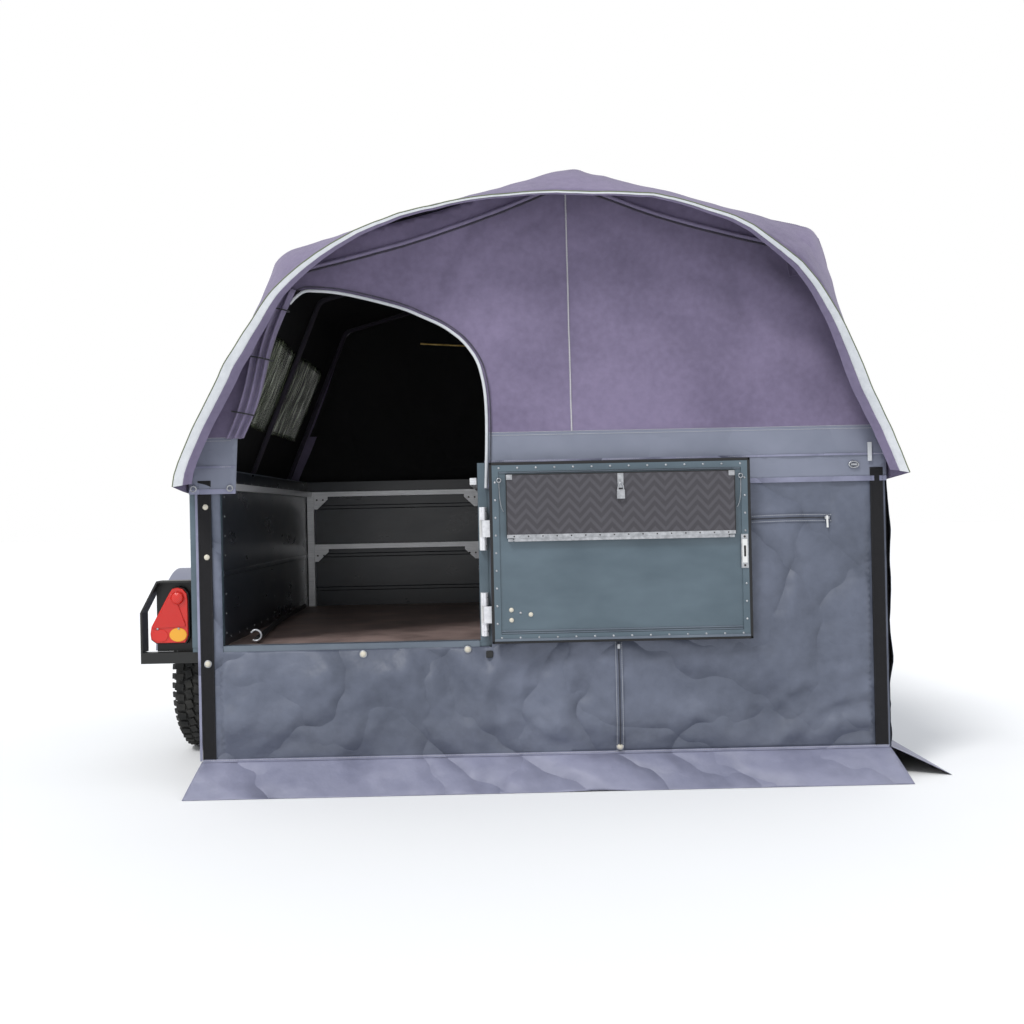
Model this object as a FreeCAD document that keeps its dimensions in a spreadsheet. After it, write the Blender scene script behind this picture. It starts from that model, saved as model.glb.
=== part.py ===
"""Camping trailer with its tent standing: a box trailer on one axle, a bed base opened out on its right side,
the canvas on three bows over both, and skirts down to the ground.

+X is to the right of the trailer, +Y is forwards towards the coupling, +Z is up, and the wheels stand on
Z = 0. Inside the expressions X = 0 is the middle of the box and Y = 0 its rear face; origin_x and origin_y
shift the whole trailer so that the frame's origin lies under the middle of its bounding box."""
import FreeCAD
import Part
import Sketcher
import math
import os
import re

SIZES = {
    # the box
    "box_width": 1268, "box_length": 2200, "opening_width": 1030, "floor_top": 570, "floor_thickness": 18,
    "wall_height": 714, "front_wall_thickness": 100, "post_depth": 40, "eave_rise": 3,
    "swage_height": 24, "swage_depth": 5, "swage_above_floor": 278, "front_swage_above_floor": 85,
    "sill_height": 20, "sill_proud": 2,
    # chassis
    "rail_width": 50, "rail_height": 60, "rail_spacing": 900, "tube_wall": 3,
    "beam_reach": 211, "beam_height": 44, "beam_depth": 45, "beam_setback": 10,
    "cross_size": 40, "cross_setback": 100,
    "drawbar_height": 60, "drawbar_width": 52, "drawbar_start": 1500, "drawbar_end": 3150,
    "drawbar_rear_offset": 430, "drawbar_front_offset": 46, "plate_thickness": 8,
    "nose_plate_width": 220, "nose_plate_lap": 230, "nose_plate_lead": 10,
    "coupling_y": 3350, "ball_height": 470, "ball_bore": 25.3, "ball_bore_depth": 20, "coupling_radius": 38,
    "coupling_width": 70, "coupling_rise": 45, "neck_length": 190,
    "grip_post_width": 28, "grip_post_size": 30, "grip_post_setback": 120, "grip_width": 22,
    "grip_length": 170, "grip_setback": 230, "grip_thickness": 16,
    "brake_offset": 125, "brake_post_width": 20, "brake_post_size": 60, "brake_post_setback": 200,
    "brake_lever_width": 14, "brake_lever_length": 340, "brake_lever_height": 22,
    "brake_lever_setback": 480, "brake_lever_rise": 40,
    # running gear
    "axle_y": 980, "tyre_radius": 335, "tyre_width": 198, "wheel_gap": 77, "rim_radius": 190, "rim_wall": 8,
    "axle_beam_size": 80, "axle_beam_lead": 150, "axle_beam_setback": 44, "arm_thickness": 40,
    "arm_half_height": 42, "stub_radius": 20, "stub_setback": 5, "shaft_gap": 0.08,
    "drum_radius": 115, "drum_length": 95, "drum_taper": 22, "hub_bore": 38, "hub_gap": 0.5, "hub_reach": 34,
    "disc_offset": 15, "disc_thickness": 9, "disc_step": 60, "disc_dish": 22, "disc_flat_radius": 95,
    "rim_edge": 14, "bead_rise": 35, "shoulder_drop": 45, "tread_drop": 8, "tread_shoulder": 16,
    "tread_edge": 34,
    "mudguard_radius": 420, "mudguard_rise": 95, "mudguard_width": 316, "mudguard_sheet": 4,
    "mudguard_lip": 40, "mudguard_end_height": 500,
    # tail lamps
    "guard_height": 330, "guard_slope_width": 67, "guard_slope_height": 126, "guard_bar": 8, "guard_depth": 80,
    "lamp_width": 159, "lamp_height": 231, "lamp_depth": 40, "lamp_from_box": 20, "lamp_above_beam": 32,
    "lamp_plate_width": 150, "lamp_plate_y": 60, "lamp_plate_gap": 8, "lamp_plate_thickness": 4,
    # jockey wheel and steadies
    "jockey_y": 2700, "jockey_tube_radius": 24, "jockey_tube_length": 350, "jockey_tube_top": 780,
    "jockey_tube_cap": 10, "clamp_width": 380, "clamp_depth": 100, "clamp_gap": 0.1,
    "clamp_ring_wall": 12, "clamp_ring_height": 60, "crank_boss_wall": 3, "crank_boss_height": 18,
    "crank_width": 16, "crank_reach": 120, "crank_tail": 12, "crank_thickness": 10,
    "crank_grip_radius": 9, "crank_grip_height": 80,
    "jockey_leg_radius": 20, "jockey_wheel_radius": 100, "jockey_wheel_width": 55, "jockey_trail": 40,
    "jockey_leg_top": 560, "jockey_axle": 8, "jockey_pin_radius": 10, "jockey_pin_length": 30,
    "jockey_pin_root": 4, "fork_clearance": 13, "fork_plate": 8, "fork_nose": 26, "fork_cheek": 5,
    "fork_cheek_gap": 6, "fork_cheek_half_width": 20, "fork_cheek_drop": 18, "fork_weld": 2,
    "leg_tube": 30, "foot_size": 80, "foot_thickness": 6, "leg_pin_radius": 6, "leg_ear": 5,
    "leg_ear_gap": 1.5, "steady_offset": 560, "steady_drop": 28,
    # rear door and its table
    "door_gap": 5, "door_edge": 5, "door_thickness": 35, "door_height": 695, "door_frame": 28,
    "door_recess": 5, "door_proud": 3, "hinge_offset": 23, "hinge_y": -28,
    "hinge_length": 172, "hinge_low": 594, "hinge_high": 935,
    "knuckle_radius": 9, "knuckle_gap": 1, "pin_radius": 4, "leaf_width": 26, "leaf_reach": 16,
    "strap_length": 102, "strap_thickness": 6, "strap_reach": 6,
    "latch_width": 28, "latch_edge": 5, "latch_thickness": 4, "latch_height": 133, "latch_rise": 270,
    "table_width": 900, "table_height": 249, "table_thickness": 12, "table_low": 984, "table_inset": 56,
    "table_pin_reach": 10, "table_pin_drop": 10, "table_pin_radius": 3, "table_pin_length": 54,
    "table_rail_size": 10, "table_rail_inset": 30, "table_standoff": 4, "table_bracket_width": 20,
    "table_bracket_inset": 6,
    # inner frame of aluminium profile
    "profile": 27, "profile_post": 37, "top_rail_drop": 58, "middle_rail_height": 327, "gusset": 80,
    "gusset_thickness": 4, "side_rail_setback": 10,
    # bed base
    "bed_width": 1514, "bed_thickness": 49, "bed_frame": 40, "bed_board": 18, "mattress_side_room": 114,
    "mattress_end_room": 100, "mattress_height": 120, "mattress_setback": 16, "bed_leg_inset": 68,
    "bed_leg_end_inset": 120, "bed_leg_pivot_drop": 56,
    # tent
    "canvas": 5, "fabric_gap": 0.3, "layer_gap": 0.7, "band_drop": 103, "band_rise": 26,
    "bow_rear_y": 130, "bow_radius": 12.5, "bow_bend": 60, "lip_y": -180, "tent_front_overhang": 30,
    "left_shoulder_inset": 354, "left_shoulder_rise": 879, "ridge_offset": 154, "ridge_rise": 1212,
    "right_shoulder_inset": 217, "right_shoulder_rise": 935,
    "window_rise": 226, "window_height": 370, "window_start": 350, "window_length": 720, "window_bar": 60,
    "film_depth": 1.5, "film_thickness": 2, "window_cut": 620, "window_cut_room": 60,
    "doorway_left": 70, "doorway_right": 40, "doorway_top_drop": 190, "doorway_bend": 112,
    # longer and wider than any wall of the tent
    "far": 3000,
    # skirts
    "skirt_low": 115, "skirt_drop": 22, "flap_reach": 220, "side_flap_reach": 245, "ground_gap": 0.6,
    "skirt_left": -600, "skirt_top_under_box": 540, "skirt_hinge_room": 22,
    # how far a cutting shape runs past what it cuts
    "overshoot": 1,
    # places that follow from the sizes above: the running gear beside the box, the door on its hinge, the tent
    # on the walls and the bed, and the frame's origin under the middle of the whole
    "beam_half_length": "=box_width / 2 + beam_reach", "track": "=box_width + tyre_width + 2 * wheel_gap",
    "axle_beam_half_length": "=box_width / 2 - axle_beam_setback", "hinge_x": "=opening_width / 2 + hinge_offset",
    "mattress_width": "=bed_width - mattress_side_room", "mattress_length": "=box_length - 2 * mattress_end_room",
    "wall_top": "=floor_top + wall_height", "band_low": "=wall_top - band_drop", "band_high": "=wall_top + band_rise",
    "left_shoulder_x": "=left_shoulder_inset - box_width / 2", "left_shoulder_z": "=wall_top + left_shoulder_rise",
    "ridge_x": "=bed_width / 2 + ridge_offset", "ridge_z": "=wall_top + ridge_rise",
    "right_shoulder_x": "=box_width / 2 + bed_width - right_shoulder_inset",
    "right_shoulder_z": "=wall_top + right_shoulder_rise",
    "window_low": "=wall_top + window_rise", "window_high": "=window_low + window_height",
    "skirt_high": "=wall_top - skirt_drop",
    "origin_x": "=(bed_width + fabric_gap + side_flap_reach - mudguard_width) / 2",
    "origin_y": "=(coupling_y + coupling_radius - fabric_gap - flap_reach) / 2",
}

WORD = re.compile(r"[a-z_]{3,}")
FLOOR_LOW = "(floor_top - floor_thickness)"
WALL_TOP = "wall_top"
WALL = "((box_width - opening_width) / 2)"
HALF_BOX = "(box_width / 2)"
HALF_OPENING = "(opening_width / 2)"
RAIL_LOW = "(floor_top - floor_thickness - rail_height)"
BED_LOW = "(wall_top - bed_thickness)"
BED_RIGHT = "(box_width / 2 + bed_width)"

doc = FreeCAD.newDocument("tent_trailer")
sheet = doc.addObject("Spreadsheet::Sheet", "Size")
nodes = []


def fill_sheet():
    for row, (alias, value) in enumerate(SIZES.items(), start=1):
        sheet.set(f"A{row}", alias)
        sheet.set(f"B{row}", str(value))
        sheet.setAlias(f"B{row}", alias)
    doc.recompute()


def size(alias):
    """The number in the cell of that alias."""
    return float(sheet.get(alias))


def bound(expression):
    """An expression written with bare aliases, as the spreadsheet's own names."""
    return WORD.sub(lambda word: f"Size.{word.group(0)}", str(expression))


def place(thing, x, y, z):
    thing.setExpression(".Placement.Base.x", bound(f"{x} - origin_x"))
    thing.setExpression(".Placement.Base.y", bound(f"{y} - origin_y"))
    thing.setExpression(".Placement.Base.z", bound(z))
    return thing


def node(thing, label):
    """Names a finished sub-part, which is then written to its own file."""
    thing.Label = label
    nodes.append(thing)
    return thing


def box(x, y, z, width, depth, height, name="Block"):
    """A block from its lowest corner."""
    made = doc.addObject("Part::Box", name)
    made.setExpression("Length", bound(width))
    made.setExpression("Width", bound(depth))
    made.setExpression("Height", bound(height))
    return place(made, x, y, z)


def rod(x, y, z, radius, length, along="z", name="Rod"):
    """A round bar from the middle of its low end."""
    made = doc.addObject("Part::Cylinder", name)
    made.setExpression("Radius", bound(radius))
    made.setExpression("Height", bound(length))
    turns = {"z": FreeCAD.Rotation(), "x": FreeCAD.Rotation(FreeCAD.Vector(0, 1, 0), 90),
             "y": FreeCAD.Rotation(FreeCAD.Vector(1, 0, 0), -90)}
    made.Placement = FreeCAD.Placement(FreeCAD.Vector(), turns[along])
    return place(made, x, y, z)


def cut(base, *tools):
    for tool in tools:
        made = doc.addObject("Part::Cut", "Cut")
        made.Base = base
        made.Tool = tool
        base = made
    return base


def fuse(*parts):
    made = doc.addObject("Part::MultiFuse", "Fuse")
    made.Shapes = list(parts)
    return made


def common(first, second):
    made = doc.addObject("Part::MultiCommon", "Common")
    made.Shapes = [first, second]
    return made


def together(*parts):
    """Solids that don't touch, in one node."""
    made = doc.addObject("Part::Compound", "Group")
    made.Links = list(parts)
    return made


def tube(x, y, z, width, depth, height, along):
    """A square tube, open at both ends."""
    shell = {axis: (0, 0) if axis == along else ("tube_wall", "2 * tube_wall") for axis in "xyz"}
    corner = [f"{at} + {shell[axis][0]}" for at, axis in zip((x, y, z), "xyz")]
    inner = [f"({long}) - {shell[axis][1]}" for long, axis in zip((width, depth, height), "xyz")]
    return cut(box(x, y, z, width, depth, height), box(*corner, *inner))


PLANES = {"xy": "XY_Plane", "xz": "XZ_Plane", "yz": "YZ_Plane"}


def new_body(name):
    made = doc.addObject("PartDesign::Body", name)
    made.setExpression(".Placement.Base.x", bound("-origin_x"))
    made.setExpression(".Placement.Base.y", bound("-origin_y"))
    return made


def outline(body, plane, points, offset="0"):
    """A closed sketch on an origin plane whose corners are bound to the sheet, each by its two distances."""
    sketch = body.newObject("Sketcher::SketchObject", "Sketch")
    support = next(f for f in body.Origin.OriginFeatures if f.Role == PLANES[plane])
    sketch.AttachmentSupport = [(support, "")]
    sketch.MapMode = "FlatFace"
    sketch.setExpression(".AttachmentOffset.Base.z", bound(offset))
    count = len(points)
    turns = [2 * math.pi * i / count for i in range(count)]
    ring = [FreeCAD.Vector(100 * math.cos(turn), 100 * math.sin(turn), 0) for turn in turns]
    for i in range(count):
        sketch.addGeometry(Part.LineSegment(ring[i], ring[(i + 1) % count]))
    for i in range(count):
        sketch.addConstraint(Sketcher.Constraint("Coincident", i, 2, (i + 1) % count, 1))
    for i, (across, up) in enumerate(points):
        for kind, expression, start in (("DistanceX", across, ring[i].x), ("DistanceY", up, ring[i].y)):
            which = sketch.addConstraint(Sketcher.Constraint(kind, -1, 1, i, 1, start))
            sketch.setExpression(f"Constraints[{which}]", bound(expression))
    doc.recompute()
    return sketch


def pad(body, sketch, length, reverse=False):
    made = body.newObject("PartDesign::Pad", "Pad")
    made.Profile = sketch
    made.setExpression("Length", bound(length))
    made.Reversed = reverse
    doc.recompute()
    return made


def pocket(body, sketch, length, reverse=False):
    before = body.Shape.Volume
    made = body.newObject("PartDesign::Pocket", "Pocket")
    made.Profile = sketch
    made.setExpression("Length", bound(length))
    made.Reversed = reverse
    doc.recompute()
    if not body.Shape.Volume < before:
        raise RuntimeError(f"a pocket in {body.Name} cuts nothing")
    return made


def slab(plane, points, low, thickness, name="Slab"):
    """A padded outline, from low to low + thickness along the normal of its plane."""
    body = new_body(name)
    if plane == "xz":      # its normal points backwards, along -Y
        pad(body, outline(body, plane, points, f"-({low})"), thickness, reverse=True)
    else:
        pad(body, outline(body, plane, points, low), thickness)
    return body


def rectangle(left, right, low, high):
    return [(left, low), (right, low), (right, high), (left, high)]


def turned(points, x, name="Turned"):
    """A ring turned about the X axis at (x, axle_y, tyre_radius): points are (distance from x, radius)."""
    body = doc.addObject("PartDesign::Body", name)
    profile = outline(body, "xz", points)
    made = body.newObject("PartDesign::Revolution", "Revolution")
    made.Profile = profile
    made.ReferenceAxis = (profile, ["H_Axis"])
    made.Angle = 360
    doc.recompute()
    return place(body, x, "axle_y", "tyre_radius")


def feature(shape, name="Sheet"):
    """A shape made from the sheet's numbers, moved into the frame."""
    made = doc.addObject("Part::Feature", name)
    made.Shape = shape
    made.Placement.Base = FreeCAD.Vector(-size("origin_x"), -size("origin_y"), 0)
    return made


# ---------------------------------------------------------------- chassis and drawbar


def chassis():
    beam = tube("-beam_half_length", "beam_setback", f"{FLOOR_LOW} - beam_height",
                "2 * beam_half_length", "beam_depth", "beam_height", "x")
    node(beam, "rear_light_beam")
    rail_start = "beam_setback + beam_depth"
    rail_length = f"box_length - 2 * rail_width - ({rail_start})"
    for side, name in ((-1, "left"), (1, "right")):
        node(tube(f"{side} * rail_spacing / 2 - rail_width / 2", rail_start, RAIL_LOW,
                  "rail_width", rail_length, "rail_height", "y"), f"chassis_rail_{name}")
    front = tube(f"-{HALF_BOX}", "box_length - 2 * rail_width", RAIL_LOW, "box_width", "rail_width",
                 "rail_height", "x")
    middle = tube("-(rail_spacing - rail_width) / 2", "drawbar_start - cross_setback",
                  f"{FLOOR_LOW} - cross_size", "rail_spacing - rail_width", "cross_size", "cross_size", "x")
    node(together(front, middle), "chassis_cross_members")


def drawbar():
    for side, name in ((-1, "left"), (1, "right")):
        rear = f"{side} * drawbar_rear_offset"
        front = f"{side} * drawbar_front_offset"
        half = "drawbar_width / 2"
        points = [(f"{rear} - {half}", "drawbar_start"), (f"{rear} + {half}", "drawbar_start"),
                  (f"{front} + {half}", "drawbar_end"), (f"{front} - {half}", "drawbar_end")]
        node(slab("xy", points, f"{RAIL_LOW} - drawbar_height", "drawbar_height"), f"drawbar_{name}")
    node(box("-nose_plate_width / 2", "drawbar_end - nose_plate_lap", RAIL_LOW, "nose_plate_width",
             "nose_plate_lap + nose_plate_lead", "plate_thickness"), "drawbar_nose_plate")


def coupling():
    top = f"{RAIL_LOW} + plate_thickness"
    head = rod("0", "coupling_y", "ball_height - ball_bore_depth", "coupling_radius",
               f"{top} + coupling_rise - ball_height + ball_bore_depth")
    neck = box("-coupling_width / 2", "drawbar_end - neck_length", top, "coupling_width",
               "coupling_y - drawbar_end + neck_length", "coupling_rise")
    socket = rod("0", "coupling_y", "ball_height - ball_bore_depth", "ball_bore", "ball_bore_depth")
    cup = doc.addObject("Part::Sphere", "Cup")
    cup.setExpression("Radius", bound("ball_bore"))
    place(cup, "0", "coupling_y", "ball_height")
    handle_low = f"{top} + coupling_rise"
    handle = fuse(box("-grip_post_width / 2", "coupling_y - grip_post_setback", handle_low, "grip_post_width",
                      "grip_post_size", "grip_post_size"),
                  box("-grip_width / 2", "coupling_y - grip_setback", f"{handle_low} + grip_post_size",
                      "grip_width", "grip_length", "grip_thickness"))
    node(cut(fuse(head, neck, handle), fuse(socket, cup)), "coupling_head")


def handbrake():
    low = f"{RAIL_LOW} + plate_thickness"
    post = box("-brake_offset", "drawbar_end - brake_post_setback", low, "brake_post_width",
               "brake_post_size", "brake_post_size")
    lever = box("-brake_offset + (brake_post_width - brake_lever_width) / 2",
                "drawbar_end - brake_lever_setback", f"{low} + brake_lever_rise", "brake_lever_width",
                "brake_lever_length", "brake_lever_height")
    node(fuse(post, lever), "handbrake_lever")


FORK_TOP = "(2 * jockey_wheel_radius + fork_clearance)"


def jockey_holder():
    """The clamp on the drawbar and the tube that it holds, with its crank."""
    clamp_bore = "jockey_tube_radius + clamp_gap"
    ring_low = f"{RAIL_LOW} + plate_thickness"
    plate = cut(box("-clamp_width / 2", "jockey_y - clamp_depth / 2", RAIL_LOW, "clamp_width", "clamp_depth",
                    "plate_thickness"),
                rod("0", "jockey_y", f"{RAIL_LOW} - overshoot", clamp_bore, "plate_thickness + 2 * overshoot"))
    ring = cut(rod("0", "jockey_y", ring_low, "jockey_tube_radius + clamp_ring_wall", "clamp_ring_height"),
               rod("0", "jockey_y", f"{ring_low} - overshoot", clamp_bore, "clamp_ring_height + 2 * overshoot"))
    node(fuse(plate, ring), "jockey_clamp")
    tube_low = "(jockey_tube_top - jockey_tube_length)"
    tube_solid = cut(rod("0", "jockey_y", tube_low, "jockey_tube_radius", "jockey_tube_length"),
                     rod("0", "jockey_y", f"{tube_low} - overshoot", "jockey_leg_radius + shaft_gap",
                         "jockey_tube_length - jockey_tube_cap"))
    arm_low = "jockey_tube_top + crank_boss_height"
    crank = fuse(rod("0", "jockey_y", "jockey_tube_top", "jockey_tube_radius + crank_boss_wall",
                     "crank_boss_height"),
                 box("-crank_width / 2", "jockey_y - crank_reach", arm_low, "crank_width",
                     "crank_reach + crank_tail", "crank_thickness"),
                 rod("0", "jockey_y - crank_reach + crank_width / 2", f"{arm_low} + crank_thickness",
                     "crank_grip_radius", "crank_grip_height"))
    node(fuse(tube_solid, crank), "jockey_tube")


def jockey():
    """The leg that slides in the tube, the fork that swivels on the leg, and the fork's wheel."""
    leg_low = f"{FORK_TOP} + fabric_gap"
    node(cut(rod("0", "jockey_y", leg_low, "jockey_leg_radius", f"jockey_leg_top - ({leg_low})"),
             rod("0", "jockey_y", f"{FORK_TOP} - overshoot", "jockey_pin_radius + shaft_gap",
                 "jockey_pin_length + overshoot")), "jockey_leg")
    half = "(jockey_wheel_width / 2)"
    out = f"({half} + fork_cheek_gap + fork_cheek)"
    centre = "jockey_y + jockey_trail"
    bridge = box(f"-{out}", "jockey_y - fork_nose", f"{FORK_TOP} - fork_plate", f"2 * {out}",
                 "jockey_trail + fork_nose + fork_cheek_half_width", "fork_plate")
    cheek_low = "jockey_wheel_radius - fork_cheek_drop"
    cheeks = [box(start, f"{centre} - fork_cheek_half_width", cheek_low, "fork_cheek",
                  "2 * fork_cheek_half_width", f"{FORK_TOP} - fork_plate + fork_weld - ({cheek_low})")
              for start in (f"-{out}", f"{out} - fork_cheek")]
    axle_bar = rod(f"-{out}", centre, "jockey_wheel_radius", "jockey_axle", f"2 * {out}", along="x")
    pin = rod("0", "jockey_y", f"{FORK_TOP} - jockey_pin_root", "jockey_pin_radius", "jockey_pin_length")
    node(fuse(bridge, *cheeks, axle_bar, pin), "jockey_fork")
    tyre = rod(f"-{half}", centre, "jockey_wheel_radius", "jockey_wheel_radius", f"2 * {half}", along="x")
    bore = rod(f"-{half} - overshoot", centre, "jockey_wheel_radius", "jockey_axle + shaft_gap",
               f"2 * ({half} + overshoot)", along="x")
    node(cut(tyre, bore), "jockey_wheel")


def swinging_leg(x, y, top, drop, label):
    """A leg of square tube with its foot on the ground. Returns the bracket that holds it by a cross pin."""
    half = "leg_tube / 2"
    bar = box(f"{x} - {half}", f"{y} - {half}", "foot_thickness", "leg_tube", "leg_tube",
              f"{top} - {drop} + {half} - foot_thickness")
    foot = box(f"{x} - foot_size / 2", f"{y} - foot_size / 2", 0, "foot_size", "foot_size", "foot_thickness")
    along = "x" if label.startswith("rear_steady") else "y"
    pin_at = {"x": (f"{x} - leg_tube", y), "y": (x, f"{y} - leg_tube")}[along]
    hole = rod(*pin_at, f"{top} - {drop}", "leg_pin_radius + shaft_gap", "2 * leg_tube", along=along)
    node(cut(fuse(bar, foot), hole), label)
    pin = rod(*pin_at, f"{top} - {drop}", "leg_pin_radius", "2 * leg_tube", along=along)
    ear_low, ear_height = f"{top} - {drop} - {half}", f"{drop} + {half}"
    ears = []
    for offset in (f"{half} + leg_ear_gap", f"-{half} - leg_ear_gap - leg_ear"):
        if along == "x":
            ears.append(box(f"{x} + {offset}", f"{y} - {half}", ear_low, "leg_ear", "leg_tube", ear_height))
        else:
            ears.append(box(f"{x} - {half}", f"{y} + {offset}", ear_low, "leg_tube", "leg_ear", ear_height))
    return fuse(*ears, pin)


def steadies():
    brackets = [swinging_leg(f"{side} * steady_offset", "beam_setback + beam_depth / 2",
                             f"{FLOOR_LOW} - beam_height", "steady_drop", f"rear_steady_{name}")
                for side, name in ((-1, "left"), (1, "right"))]
    node(together(*brackets), "rear_steady_brackets")


# ---------------------------------------------------------------- running gear


def axle():
    beam_low = f"{RAIL_LOW} - axle_beam_size"
    beam_rear = "axle_y + axle_beam_lead - axle_beam_size / 2"
    node(tube("-axle_beam_half_length", beam_rear, beam_low, "2 * axle_beam_half_length", "axle_beam_size",
              "axle_beam_size", "x"), "axle_beam")
    arms = []
    for side in (-1, 1):
        rear, front = "axle_y - arm_half_height", "axle_y + axle_beam_lead + axle_beam_size / 2"
        points = [(rear, "tyre_radius - arm_half_height"),
                  ("axle_y + arm_half_height", "tyre_radius - arm_half_height"), (front, beam_low),
                  (front, RAIL_LOW), (beam_rear, RAIL_LOW), (rear, "tyre_radius + arm_half_height")]
        low = "axle_beam_half_length" if side > 0 else "-axle_beam_half_length - arm_thickness"
        arm = slab("yz", points, low, "arm_thickness", "Arm")
        start = "axle_beam_half_length + arm_thickness" if side > 0 else "-track / 2 + stub_setback"
        stub = rod(start, "axle_y", "tyre_radius", "stub_radius",
                   "track / 2 - stub_setback - axle_beam_half_length - arm_thickness", along="x")
        arms.append(fuse(arm, stub))
    node(together(*arms), "suspension_arms")


def wheels():
    half = "tyre_width / 2"
    tyre = [(f"-{half} + rim_edge", "rim_radius"), (f"{half} - rim_edge", "rim_radius"),
            (half, "rim_radius + bead_rise"), (half, "tyre_radius - shoulder_drop"),
            (f"{half} - tread_shoulder", "tyre_radius - tread_drop"), (f"{half} - tread_edge", "tyre_radius"),
            (f"-{half} + tread_edge", "tyre_radius"),
            (f"-{half} + tread_shoulder", "tyre_radius - tread_drop"),
            (f"-{half}", "tyre_radius - shoulder_drop"), (f"-{half}", "rim_radius + bead_rise")]
    # the rim's and the drum's sections, outwards from the middle of the tyre
    face, back = "disc_offset", "disc_offset - disc_thickness"
    inside, step = "rim_radius - rim_wall", "rim_radius - disc_step"
    rim = [(f"-{half} + rim_edge", inside), (back, inside), (back, step),
           (f"{back} + disc_dish", "disc_flat_radius"), (f"{back} + disc_dish", "hub_bore"),
           (f"{face} + disc_dish", "hub_bore"), (f"{face} + disc_dish", "disc_flat_radius"), (face, step),
           (face, inside), (f"{half} - rim_edge", inside), (f"{half} - rim_edge", "rim_radius"),
           (f"-{half} + rim_edge", "rim_radius")]
    seat, shaft = f"{back} + disc_dish", "stub_radius + shaft_gap"
    drum = [(f"{seat} - drum_length", shaft), (f"{seat} - drum_length", "drum_radius"),
            (seat, "drum_radius - drum_taper"), (seat, "hub_bore - hub_gap"),
            (f"{seat} + hub_reach", "hub_bore - hub_gap"), (f"{seat} + hub_reach", shaft)]
    for side, name in ((-1, "left"), (1, "right")):
        def outwards(points):
            return [(f"{side} * ({across})", up) for across, up in points]
        centre = f"{side} * track / 2"
        node(turned(tyre, centre, "Tyre"), f"tyre_{name}")
        node(fuse(turned(outwards(rim), centre, "Rim"), turned(outwards(drum), centre, "Drum")),
             f"wheel_rim_{name}")


def mudguards():
    middle = "tyre_radius + mudguard_rise"
    for side, name in ((-1, "left"), (1, "right")):
        start = HALF_BOX if side > 0 else f"-{HALF_BOX} - mudguard_width"
        lip = f"{HALF_BOX} + mudguard_width - mudguard_sheet" if side > 0 else start
        outer = rod(start, "axle_y", middle, "mudguard_radius", "mudguard_width", along="x")
        inner = rod(f"{start} - overshoot", "axle_y", middle, "mudguard_radius - mudguard_sheet",
                    "mudguard_width + 2 * overshoot", along="x")
        rim = rod(lip, "axle_y", middle, "mudguard_radius", "mudguard_sheet", along="x")
        hollow = rod(f"{lip} - overshoot", "axle_y", middle, "mudguard_radius - mudguard_lip",
                     "mudguard_sheet + 2 * overshoot", along="x")
        keep = box(f"{start} - overshoot", "axle_y - mudguard_radius - overshoot", "mudguard_end_height",
                   "mudguard_width + 2 * overshoot", "2 * (mudguard_radius + overshoot)", "2 * mudguard_radius")
        node(common(fuse(cut(outer, inner), cut(rim, hollow)), keep), f"mudguard_{name}")


def tail_lamps():
    beam_top = FLOOR_LOW
    guard_top = f"({FLOOR_LOW} - beam_height + guard_height)"
    bend = f"({guard_top} - guard_slope_height)"
    for side, name in ((-1, "left"), (1, "right")):
        def across(text):
            return f"{side} * ({text})"
        outer = [(across("beam_half_length"), beam_top), (across("beam_half_length"), bend),
                 (across("beam_half_length - guard_slope_width"), guard_top), (across(HALF_BOX), guard_top)]
        inner = [(across(HALF_BOX), f"{guard_top} - guard_bar"),
                 (across("beam_half_length - guard_slope_width - guard_bar / 2"), f"{guard_top} - guard_bar"),
                 (across("beam_half_length - guard_bar"), f"{bend} - guard_bar / 4"),
                 (across("beam_half_length - guard_bar"), beam_top)]
        strip = slab("xz", outer + inner, "beam_setback", "guard_depth", "Guard")
        start = f"{HALF_BOX} + lamp_plate_gap" if side > 0 else f"-{HALF_BOX} - lamp_plate_gap - lamp_plate_width"
        plate = box(start, "lamp_plate_y", beam_top, "lamp_plate_width", "lamp_plate_thickness",
                    f"{guard_top} - guard_bar - {beam_top}")
        node(fuse(strip, plate), f"lamp_guard_{name}")
        low = f"({FLOOR_LOW} + lamp_above_beam)"
        right = f"({HALF_BOX} + lamp_from_box)"
        shares = [(0.0, 0.10), (0.08, 0.0), (0.85, 0.0), (0.97, 0.08), (1.0, 0.20), (0.97, 0.32),
                  (0.49, 0.90), (0.38, 0.98), (0.28, 1.0), (0.14, 0.97), (0.03, 0.88), (0.0, 0.78)]
        points = [(across(f"{right} + lamp_width * {u}"), f"{low} + lamp_height * {v}") for u, v in shares]
        node(slab("xz", points, "lamp_plate_y - lamp_depth", "lamp_depth", "Lamp"), f"tail_lamp_{name}")


# ---------------------------------------------------------------- the box


def swage(face, low, towards):
    """The four corners of a pressed rib that stands out of a wall face, from its lower to its upper edge."""
    out = f"{face} + {towards} * swage_depth"
    high = f"{low} + swage_height"
    return [(face, f"{low}"), (out, f"{low} + swage_depth"), (out, f"{high} - swage_depth"), (face, high)]


FRONT_FACE = "(box_length - front_wall_thickness)"
FRAME_FACE = "(box_length - front_wall_thickness - swage_depth)"
FRAME_POST = f"({HALF_OPENING} - swage_depth - profile_post)"


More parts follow.
